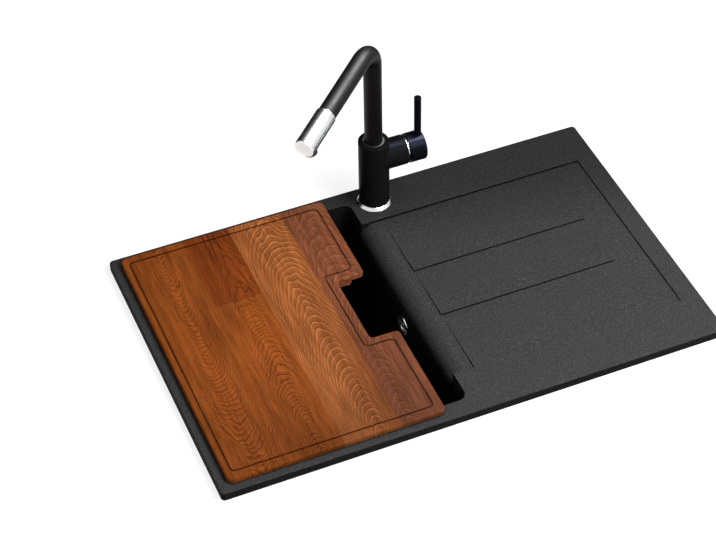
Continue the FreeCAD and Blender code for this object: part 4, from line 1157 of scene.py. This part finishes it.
@dataclass
class Thread:
    """A screw thread's ridge, wound round a packed tube."""

    name: str
    body: str
    slot: str
    finish: str
    foot: Vector
    radius: float
    length: float
    pitch: float
    ridge_sides: int = 4
    ridge_share: float = 0.55
    start_share: float = 0.75
    steps: int = 48

    def build(self, bench: Workbench) -> None:
        """Wind the ridge upwards from the thread's foot.

        Args:
            bench: The modelling steps.
        """
        turns = int(self.length / self.pitch) - 1
        ridge = open_primitive(self.name, bpy.ops.mesh.primitive_circle_add, vertices=self.ridge_sides,
                               radius=self.ridge_share * self.pitch)
        bpy.ops.transform.rotate(value=math.pi / 2.0, orient_axis="X", center_override=ORIGIN)
        bpy.ops.transform.translate(value=(self.radius, 0.0, self.start_share * self.pitch))
        bpy.ops.object.mode_set(mode="OBJECT")
        bench.modify(ridge, "SCREW", axis="Z", iterations=turns, screw_offset=self.pitch, steps=self.steps,
                     render_steps=self.steps)
        bpy.ops.object.mode_set(mode="EDIT")
        bpy.ops.mesh.select_all(action="SELECT")
        bpy.ops.mesh.fill_holes(sides=0)
        bench.close(ridge)
        bench.finish(ridge, self.finish, self.body, self.slot, self.foot)


@dataclass
class GripRibs:
    """Rounded ribs round a hand nut."""

    nut: str
    axis: Vector
    ribs: int = 16
    rib_sides: int = 16
    rib_radius: float = 1.3 * MILLIMETRE
    rib_bevel: float = 0.4 * MILLIMETRE
    bevel_segments: int = 2
    sink_share: float = 0.45
    end_margin: float = 1.0 * MILLIMETRE

    def build(self, bench: Workbench) -> None:
        """Stand the ribs round the nut.

        Args:
            bench: The modelling steps.
        """
        low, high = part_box(self.nut)
        size = high - low
        depth = abs(size.dot(self.axis)) - 2.0 * self.end_margin
        radius = size.y / 2.0 - self.sink_share * self.rib_radius
        ring = open_primitive(f"{self.nut}_ribs", bpy.ops.mesh.primitive_cylinder_add,
                              vertices=self.rib_sides, radius=self.rib_radius, depth=depth)
        bpy.ops.transform.translate(value=(radius, 0.0, 0.0))
        bench.repeat_round(self.ribs)
        bench.close(ring)
        bench.round_edges(ring, self.rib_bevel, self.bevel_segments)
        bench.finish(ring, "dark_plastic", "sink", "dark_plastic", (low + high) / 2.0, self.axis)


@dataclass
class CrossScrew:
    """A screw with a domed head and a cross recess, in place of a packed plain one."""

    node: str
    finish: str
    slot: str
    axis: Vector
    head_height: float
    shaft_radius: float
    dome_end: float = 80.0
    dome_chords: int = 8
    sides: int = 48
    recess_depth_share: float = 0.7
    recess_length_share: float = 1.15
    recess_width_share: float = 0.26

    def build(self, bench: Workbench) -> None:
        """Turn the screw and cut the recess out of its head.

        Args:
            bench: The modelling steps.
        """
        low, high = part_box(self.node)
        length = abs((high - low).dot(self.axis))
        head = (high.y - low.y) / 2.0
        dome = arc((0.0, -self.head_height), (head, self.head_height), 0.0, self.dome_end, self.dome_chords)
        profile = [(self.shaft_radius, -length), (self.shaft_radius, -self.head_height), *dome]
        screw = bench.turn(f"{self.node}_cross", profile, ring=False, sides=self.sides)
        for turn in (0.0, math.pi / 2.0):
            bar = self._bar(bench, head, turn)
            bench.modify(screw, "BOOLEAN", operation="DIFFERENCE", object=bar, solver="EXACT")
            bpy.data.objects.remove(bar)
        top = (low + high) / 2.0 + self.axis * (length / 2.0)
        bench.finish(screw, self.finish, "sink", self.slot, top, self.axis)
        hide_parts(self.node)

    def _bar(self, bench: Workbench, head: float, turn: float) -> Piece:
        """Make one bar of the cross that the recess is cut with.

        Args:
            bench: The modelling steps.
            head: Radius of the screw's head.
            turn: How far the bar is turned about the screw's axis, in radians.

        Returns:
            The bar.
        """
        size = (self.recess_length_share * head, self.recess_width_share * head,
                2.0 * self.recess_depth_share * self.head_height)
        bar = open_primitive("recess_bar", bpy.ops.mesh.primitive_cube_add, size=1.0)
        bpy.ops.transform.resize(value=size, center_override=ORIGIN)
        bpy.ops.transform.rotate(value=turn, orient_axis="Z", center_override=ORIGIN)
        bench.close(bar)
        return bar


@dataclass
class Assembly:
    """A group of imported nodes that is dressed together."""

    finishes: dict[str, tuple[str, ...]] = field(default_factory=dict)

    def dress(self, paints: Paintbox) -> None:
        """Paint every node of the assembly.

        Args:
            paints: The finishes.
        """
        for finish, nodes in self.finishes.items():
            for node in nodes:
                paints.paint(node, finish)

    def build(self, bench: Workbench) -> None:
        """Model the assembly's finer pieces, if it has any."""


@dataclass
class Casting(Assembly):
    """The stone sink itself."""

    finishes: dict[str, tuple[str, ...]] = field(default_factory=lambda: {"cast_stone": ("basin",)})


@dataclass
class CuttingBoard(Assembly):
    """The wooden board over the bowl."""

    finishes: dict[str, tuple[str, ...]] = field(default_factory=lambda: {
        "oiled_staves": ("cutting_board",),
    })


@dataclass
class OverflowKit(Assembly):
    """Rose, elbow and pipe of the overflow."""

    finishes: dict[str, tuple[str, ...]] = field(default_factory=lambda: {
        "chrome_plate": ("overflow_rose", "overflow_screw"),
        "black_rubber": ("overflow_gasket",),
        "white_plastic": ("overflow_elbow",),
        "grey_plastic": ("overflow_pipe",),
        "dark_plastic": ("pipe_nut_upper", "pipe_nut_lower"),
    })
    rim_thickness: float = 3.0 * MILLIMETRE
    rim_chords: int = 14
    sleeve_radius: float = 11.0 * MILLIMETRE
    sleeve_wall: float = 1.5 * MILLIMETRE
    bar_width: float = 5.0 * MILLIMETRE
    bar_depth: float = 2.5 * MILLIMETRE
    bar_bevel: float = 0.4 * MILLIMETRE
    bevel_segments: int = 2
    screw_head: float = 2.2 * MILLIMETRE
    screw_shaft: float = 2.4 * MILLIMETRE

    def build(self, bench: Workbench) -> None:
        """Model the domed rose, its screw and the grips of the pipe nuts.

        Args:
            bench: The modelling steps.
        """
        self._rose(bench)
        CrossScrew("overflow_screw", "chrome_plate", "chrome", INTO_BOWL, self.screw_head,
                   self.screw_shaft).build(bench)
        GripRibs("pipe_nut_upper", UP).build(bench)
        GripRibs("pipe_nut_lower", TO_DRAINER).build(bench)

    def _rose(self, bench: Workbench) -> None:
        """Model the rose: a domed rim on a sleeve, with a bar across for the screw.

        Args:
            bench: The modelling steps.
        """
        low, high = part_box("overflow_rose")
        rim = (high.y - low.y) / 2.0
        bore = self.sleeve_radius - self.sleeve_wall
        behind = self.rim_thickness - (high.x - low.x)
        dome = arc(((rim + bore) / 2.0, 0.0), ((rim - bore) / 2.0, self.rim_thickness), 0.0, 180.0,
                   self.rim_chords)
        profile = [(bore, behind), (self.sleeve_radius, behind), (self.sleeve_radius, 0.0), *dome[:-1],
                   (bore, 0.0)]
        rose = bench.turn("rose_rim", profile, ring=True)
        bar = self._bar(bench)
        bench.pick(rose)
        bar.select_set(True)
        bpy.ops.object.join()
        face = Vector((low.x + self.rim_thickness, (low.y + high.y) / 2.0, (low.z + high.z) / 2.0))
        bench.finish(rose, "chrome_plate", "sink", "chrome", face, INTO_BOWL)
        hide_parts("overflow_rose")

    def _bar(self, bench: Workbench) -> Piece:
        """Model the rounded bar that takes the screw.

        Args:
            bench: The modelling steps.

        Returns:
            The bar, lying across the sleeve's mouth.
        """
        middle = (0.0, 0.0, -self.bar_depth / 2.0)
        size = (self.bar_width, 2.0 * self.sleeve_radius - self.sleeve_wall, self.bar_depth)
        bar = open_primitive("rose_bar", bpy.ops.mesh.primitive_cube_add, size=1.0, location=middle)
        bpy.ops.transform.resize(value=size, center_override=middle)
        bench.close(bar)
        bench.round_edges(bar, self.bar_bevel, self.bevel_segments)
        return bar


@dataclass
class WasteKit(Assembly):
    """Strainer flange, waste body and the basket."""

    finishes: dict[str, tuple[str, ...]] = field(default_factory=lambda: {
        "stainless_steel": ("strainer_flange", "waste_screw", "basket_cup", "basket_knob"),
        "black_rubber": ("flange_seal", "waste_gasket", "basket_seal"),
        "white_plastic": ("waste_body",),
    })
    outlet_radius: float = 23.9 * MILLIMETRE
    outlet_thread: float = 26.0 * MILLIMETRE
    outlet_pitch: float = 2.8 * MILLIMETRE
    screw_head: float = 3.0 * MILLIMETRE
    screw_shaft: float = 3.0 * MILLIMETRE

    def build(self, bench: Workbench) -> None:
        """Model the thread of the outlet and the clamping screw.

        Args:
            bench: The modelling steps.
        """
        flange_low, flange_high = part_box("strainer_flange")
        foot = (flange_low + flange_high) / 2.0
        foot.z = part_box("waste_body")[0].z
        Thread("outlet_thread", "sink", "white_plastic", "white_plastic", foot, self.outlet_radius,
               self.outlet_thread, self.outlet_pitch).build(bench)
        CrossScrew("waste_screw", "stainless_steel", "steel", UP, self.screw_head,
                   self.screw_shaft).build(bench)


@dataclass
class MixerTap(Assembly):
    """Tap foot, body, mixer, spout and pull-out head."""

    finishes: dict[str, tuple[str, ...]] = field(default_factory=lambda: {
        "chrome_plate": ("tap_base_ring", "lever_trim_ring", "head_shell", "aerator_housing"),
        "satin_black": ("spout_tube",),
        "deep_black": ("tap_body",),
        "gloss_black": ("lever_knob", "lever_rod"),
        "turned_brass": ("tap_shank", "tap_lock_nut", "cartridge_nut", "cartridge_rotor"),
        "stainless_steel": ("tap_steel_washer", "stem_pivot_pin", "lever_stem", "lever_grub_screw",
                            "spout_retainer"),
        "black_rubber": ("tap_base_seal", "tap_rubber_washer", "spout_ring_upper", "spout_ring_lower"),
        "white_plastic": ("cartridge_body",),
        "dark_plastic": ("spout_bush", "head_guide", "head_stem", "aerator_insert"),
    })
    bevel_segments: int = 3
    collar_foot: float = 0.8 * MILLIMETRE
    collar_inset: float = 2.0 * MILLIMETRE
    collar_bevel: float = 0.35 * MILLIMETRE
    trim_crown: float = 1.2 * MILLIMETRE
    trim_chords: int = 12
    trim_wall: float = 4.0 * MILLIMETRE
    shell_radius: float = 15.6 * MILLIMETRE
    shell_sides: int = 128
    shell_bore: float = 12.0 * MILLIMETRE
    shell_round: float = 0.6 * MILLIMETRE
    shell_bevel: float = 1.2 * MILLIMETRE
    shell_edge: float = 0.2 * MILLIMETRE
    cap_radius: float = 14.3 * MILLIMETRE
    cap_height: float = 0.5 * MILLIMETRE
    cap_rim: float = 1.3 * MILLIMETRE
    cap_dish: float = 0.2 * MILLIMETRE
    cap_bevel: float = 0.09 * MILLIMETRE
    sieve_radius: float = 8.7 * MILLIMETRE
    sieve_cells: int = 14
    sieve_wire: float = 0.35 * MILLIMETRE
    sieve_recess: float = 0.9 * MILLIMETRE
    shank_pitch: float = 1.5 * MILLIMETRE

    def build(self, bench: Workbench) -> None:
        """Model the collar, the trim band, the head's sleeve, cap and sieve, and the shank's thread.

        Args:
            bench: The modelling steps.
        """
        self._collar(bench)
        self._trim(bench)
        pull = next(joint for joint in frame["joints"] if joint["name"] == "head_pull_out")
        arm = Vector(pull["axis"]).normalized()
        self._shell(bench, arm)
        self._cap(bench, arm)
        self._sieve(bench, -(UP - arm * arm.z).normalized())
        low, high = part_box("tap_shank")
        foot = (low + high) / 2.0
        foot.z = low.z
        Thread("shank_thread", "sink", "brass", "turned_brass", foot, (high.x - low.x) / 2.0,
               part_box("tap_lock_nut")[0].z - low.z, self.shank_pitch).build(bench)

    def _collar(self, bench: Workbench) -> None:
        """Model the tapered collar on which the tap body stands.

        Args:
            bench: The modelling steps.
        """
        low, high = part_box("tap_base_ring")
        radius = (high.x - low.x) / 2.0
        middle = (low + high) / 2.0
        body = middle.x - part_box("tap_body")[0].x
        top = high.z - low.z
        inner = body - self.collar_inset
        profile = [(inner, 0.0), (radius, 0.0), (radius, self.collar_foot), (body, top), (inner, top)]
        collar = bench.turn("base_collar", profile, ring=True)
        bench.round_edges(collar, self.collar_bevel, self.bevel_segments)
        middle.z = low.z
        bench.finish(collar, "chrome_plate", "sink", "chrome", middle)
        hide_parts("tap_base_ring")

    def _trim(self, bench: Workbench) -> None:
        """Model the rounded ring between the body and the lever's knob.

        Args:
            bench: The modelling steps.
        """
        low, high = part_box("lever_trim_ring")
        radius, half = (high.y - low.y) / 2.0, (high.x - low.x) / 2.0
        crown = arc((radius - self.trim_crown, 0.0), (self.trim_crown, half), -90.0, 90.0, self.trim_chords)
        bore = radius - self.trim_wall
        ring = bench.turn("trim_band", [(bore, -half), *crown, (bore, half)], ring=True)
        bench.finish(ring, "chrome_plate", "sink", "chrome", (low + high) / 2.0, TO_DRAINER)
        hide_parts("lever_trim_ring")

    def _shell(self, bench: Workbench, arm: Vector) -> None:
        """Model the smooth plated shell of the pull-out head, closed, with the outlet standing through it.

        Args:
            bench: The modelling steps.
            arm: Direction of the arm, away from the tap.
        """
        tip = end_face("head_shell", arm)
        start = end_face("head_shell", -arm)
        length = (tip - start).length
        profile = [
            (self.shell_bore, 0.0),
            (self.shell_radius - self.shell_round, 0.0),
            (self.shell_radius, self.shell_round),
            (self.shell_radius, length - self.shell_bevel),
            (self.shell_radius - self.shell_bevel, length),
        ]
        shell = bench.turn("head_sleeve", profile, ring=False, sides=self.shell_sides)
        bench.round_edges(shell, self.shell_edge, self.bevel_segments)
        bench.finish(shell, "chrome_plate", "spray_head", "chrome", start, arm)
        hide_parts("head_shell")

    def _cap(self, bench: Workbench, arm: Vector) -> None:
        """Model the dished cap on the end of the head.

        Args:
            bench: The modelling steps.
            arm: Direction of the arm, away from the tap.
        """
        inner = self.cap_radius - self.cap_rim
        profile = [
            (self.cap_radius, -self.cap_height),
            (self.cap_radius, self.cap_height),
            (inner, self.cap_height),
            (inner, self.cap_height - self.cap_dish),
        ]
        cap = bench.turn("head_cap", profile, ring=False)
        bench.round_edges(cap, self.cap_bevel, self.bevel_segments)
        bench.finish(cap, "pearl_cap", "spray_head", "white_plastic", end_face("head_shell", arm), arm)

    def _sieve(self, bench: Workbench, down: Vector) -> None:
        """Model the square-meshed sieve in the mouth of the outlet.

        Args:
            bench: The modelling steps.
            down: Direction in which the water leaves.
        """
        sieve = open_primitive("outlet_sieve", bpy.ops.mesh.primitive_grid_add,
                               x_subdivisions=self.sieve_cells, y_subdivisions=self.sieve_cells,
                               size=2.0 * self.sieve_radius)
        bpy.ops.mesh.select_mode(type="VERT")
        bpy.ops.mesh.select_all(action="DESELECT")
        bpy.ops.object.mode_set(mode="OBJECT")
        for vertex in sieve.data.vertices:
            vertex.select = vertex.co.length > self.sieve_radius
        bpy.ops.object.mode_set(mode="EDIT")
        bpy.ops.mesh.delete(type="VERT")
        bpy.ops.mesh.select_mode(type="FACE")
        bpy.ops.mesh.select_all(action="SELECT")
        bpy.ops.mesh.inset(thickness=self.sieve_wire / 2.0, use_individual=True)
        bpy.ops.mesh.delete(type="FACE")
        bpy.ops.mesh.select_mode(type="VERT")
        bpy.ops.object.mode_set(mode="OBJECT")
        bench.modify(sieve, "SOLIDIFY", thickness=self.sieve_wire, offset=0.0)
        mouth = end_face("aerator_housing", down) - down * self.sieve_recess
        bench.finish(sieve, "stainless_steel", "spray_head", "steel", mouth, down)


def stand_and_aim(holder: bpy.types.Object, at: Triple, aim: Triple) -> None:
    """Put a lamp or a camera into the scene and point it.

    Args:
        holder: The lamp's or camera's object.
        at: Where it stands.
        aim: Where it points.
    """
    holder.location = at
    holder.rotation_euler = (Vector(aim) - Vector(at)).to_track_quat("-Z", "Y").to_euler()
    bpy.context.scene.collection.objects.link(holder)


@dataclass
class SoftBox:
    """One soft lamp: where it stands, where it points, its side and its power in watts."""

    name: str
    at: Triple
    aim: Triple
    side: float
    watts: float
    glint_only: bool = False

    def build(self) -> None:
        """Add the lamp, for all surfaces or for the highlights of glossy ones alone."""
        lamp = bpy.data.lights.new(self.name, "AREA")
        lamp.shape = "SQUARE"
        lamp.size = self.side
        lamp.energy = self.watts
        holder = bpy.data.objects.new(self.name, lamp)
        stand_and_aim(holder, self.at, self.aim)
        holder.visible_diffuse = not self.glint_only


@dataclass
class GradedScreen:
    """A screen on the floor, dark from its foot up and graded to the level at its top.

    It only shows in reflections.
    """

    name: str
    at: Triple
    width: float
    height: float
    turn: float
    dark_share: float = 1.0
    top_level: float = 0.0

    def build(self) -> None:
        """Stand the screen on the floor."""
        screen = open_primitive(self.name, bpy.ops.mesh.primitive_plane_add, size=1.0)
        bpy.ops.transform.resize(value=(self.width, self.height, 1.0), center_override=ORIGIN)
        bpy.ops.object.mode_set(mode="OBJECT")
        screen.rotation_euler = (math.pi / 2.0, 0.0, math.radians(self.turn))
        screen.location = Vector(self.at) + UP * (self.height / 2.0)
        for way in ("camera", "diffuse", "transmission", "shadow"):
            setattr(screen, f"visible_{way}", False)
        screen.data.materials.append(self._cloth())

    def _cloth(self) -> Material:
        """Make the screen's graded cloth, lit from within.

        Returns:
            The cloth's material.
        """
        material, nodes, shader = start_material(f"{self.name}_cloth")
        shader.inputs["Base Color"].default_value = BLACK
        shader.inputs["Specular IOR Level"].default_value = 0.0
        _, height, _ = nodes.axes(nodes.add("ShaderNodeTexCoord").outputs["Object"])
        pale_from = (self.dark_share - 0.5) * self.height
        # The margin keeps a length to grade over where the whole screen is dark.
        pale_to = 0.5 * self.height + MILLIMETRE
        level = nodes.spread(height, pale_from, pale_to, 0.0, self.top_level)
        nodes.feed(shader.inputs["Emission Color"], nodes.grey(level))
        shader.inputs["Emission Strength"].default_value = 1.0
        return material


@dataclass
class Studio:
    """Pale floor at worktop level with the cut-out of the sink, soft light, and the camera."""

    floor_side: float = 30.0
    rim_cover: float = 10.0 * MILLIMETRE
    floor_colour: Colour = (0.32, 0.32, 0.32)
    floor_roughness: float = 0.9
    floor_specular: float = 0.1
    floor_lift: float = 0.80
    sky_level: float = 0.27
    under_level: float = 0.95
    horizon_band: float = 0.05
    eye: Triple = (-0.92741, -2.11010, 2.33490)
    aim: Triple = (0.01509, 0.04940, 0.0145)
    lens: float = 109.85
    sensor: float = 36.0
    shift_right: float = -0.0706
    shift_up: float = 0.0007
    lamps: tuple[SoftBox, ...] = (
        SoftBox("front_key", (0.80, -0.95, 1.55), (0.10, -0.10, 0.0), 1.0, 48.0),
        SoftBox("arm_glint", (0.82, 0.385, 1.98), (0.0, 0.1, 0.3), 1.1, 240.0, glint_only=True),
        SoftBox("left_fill", (-1.7, -1.5, 0.8), (-0.1, 0.1, 0.2), 1.2, 5.0),
    )
    screens: tuple[GradedScreen, ...] = (
        GradedScreen("back_screen", (0.0, 0.60, 0.0), 2.4, 2.20, 0.0, dark_share=0.18, top_level=0.75),
        GradedScreen("right_screen", (0.56, -0.2, 0.0), 2.0, 0.14, 90.0),
    )

    def build(self) -> None:
        """Set up the floor, the light and the camera."""
        bpy.context.scene.view_settings.view_transform = "Standard"
        self._floor()
        self._sky()
        for item in (*self.lamps, *self.screens):
            item.build()
        self._camera()

    def _floor(self) -> None:
        """Lay the floor and open its cut-out, whose edges the sink's rim covers."""
        floor = open_primitive("worktop_floor", bpy.ops.mesh.primitive_plane_add, size=self.floor_side)
        low, high = CAD_BOX
        half_x = (high[0] - low[0]) / 2.0 - self.rim_cover
        half_y = (high[1] - low[1]) / 2.0 - self.rim_cover
        for half, normal in ((half_x, TO_DRAINER), (half_y, TO_BACK)):
            for side in (half, -half):
                bpy.ops.mesh.select_all(action="SELECT")
                bpy.ops.mesh.bisect(plane_co=normal * side, plane_no=normal)
        bpy.ops.mesh.select_mode(type="FACE")
        bpy.ops.mesh.select_all(action="DESELECT")
        bpy.ops.object.mode_set(mode="OBJECT")
        for face in floor.data.polygons:
            face.select = abs(face.center.x) < half_x and abs(face.center.y) < half_y
        bpy.ops.object.mode_set(mode="EDIT")
        bpy.ops.mesh.delete(type="FACE")
        bpy.ops.object.mode_set(mode="OBJECT")
        floor.data.materials.append(self._floor_material())

    @staticmethod
    def _seen(nodes: Nodes, *ways: str) -> Socket:
        """Tell the rays that show a surface from those that only light by it.

        Args:
            nodes: The wiring.
            ways: The kinds of ray that show it, beside the camera's own.

        Returns:
            1 for the rays that show it and 0 for others.
        """
        path = nodes.add("ShaderNodeLightPath")
        seen = path.outputs["Is Camera Ray"]
        for way in ways:
            seen = nodes.math("MAXIMUM", seen, path.outputs[f"Is {way} Ray"])
        return seen

    def _floor_material(self) -> Material:
        """Make the floor's material, which is clear from below.

        Returns:
            The material.
        """
        material, nodes, shader = start_material("pale_floor")
        shader.inputs["Base Color"].default_value = (*self.floor_colour, 1.0)
        shader.inputs["Roughness"].default_value = self.floor_roughness
        shader.inputs["Specular IOR Level"].default_value = self.floor_specular
        shader.inputs["Emission Color"].default_value = WHITE
        lift = nodes.product(self._seen(nodes, "Glossy"), self.floor_lift)
        nodes.feed(shader.inputs["Emission Strength"], lift)
        clear = nodes.add("ShaderNodeBsdfTransparent")
        pick = nodes.add("ShaderNodeMixShader")
        nodes.feed(pick.inputs[0], nodes.add("ShaderNodeNewGeometry").outputs["Backfacing"])
        nodes.feed(pick.inputs[1], shader.outputs[0])
        nodes.feed(pick.inputs[2], clear.outputs[0])
        nodes.feed(material.node_tree.nodes["Material Output"].inputs["Surface"], pick.outputs[0])
        return material

    def _sky(self) -> None:
        """Surround the scene with white, which lights it at a lower level than it shows.

        Light from below the horizon is brighter. The floor keeps it from all that stands on it, and it
        shows the fittings that hang under the sink.
        """
        world = bpy.data.worlds.new("white_room")
        world.use_nodes = True
        bpy.context.scene.world = world
        nodes = Nodes(world.node_tree)
        backdrop = world.node_tree.nodes["Background"]
        backdrop.inputs["Color"].default_value = WHITE
        _, _, height = nodes.axes(nodes.add("ShaderNodeTexCoord").outputs["Generated"])
        level = nodes.spread(height, -self.horizon_band, 0.0, self.under_level, self.sky_level)
        seen = self._seen(nodes, "Glossy", "Transmission")
        nodes.feed(backdrop.inputs["Strength"], nodes.spread(seen, 0.0, 1.0, level, 1.0))

    def _camera(self) -> None:
        """Stand the camera at the viewing angle of the photograph."""
        data = bpy.data.cameras.new("camera")
        data.sensor_fit = "HORIZONTAL"
        data.sensor_width = self.sensor
        data.lens = self.lens
        data.shift_x = self.shift_right
        data.shift_y = self.shift_up
        camera = bpy.data.objects.new("camera", data)
        stand_and_aim(camera, self.eye, self.aim)
        bpy.context.scene.camera = camera


def write_sizes() -> None:
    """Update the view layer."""
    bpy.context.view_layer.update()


def main() -> None:
    """Dress the assemblies in order and set up the studio."""
    logging.basicConfig(level=logging.INFO, format="%(name)s: %(message)s")
    paints = Paintbox(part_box("cutting_board"))
    bench = Workbench(paints)
    for assembly in (Casting(), CuttingBoard(), OverflowKit(), WasteKit(), MixerTap()):
        assembly.dress(paints)
        assembly.build(bench)
    Studio().build()
    write_sizes()


if __name__ == "__main__":
    main()
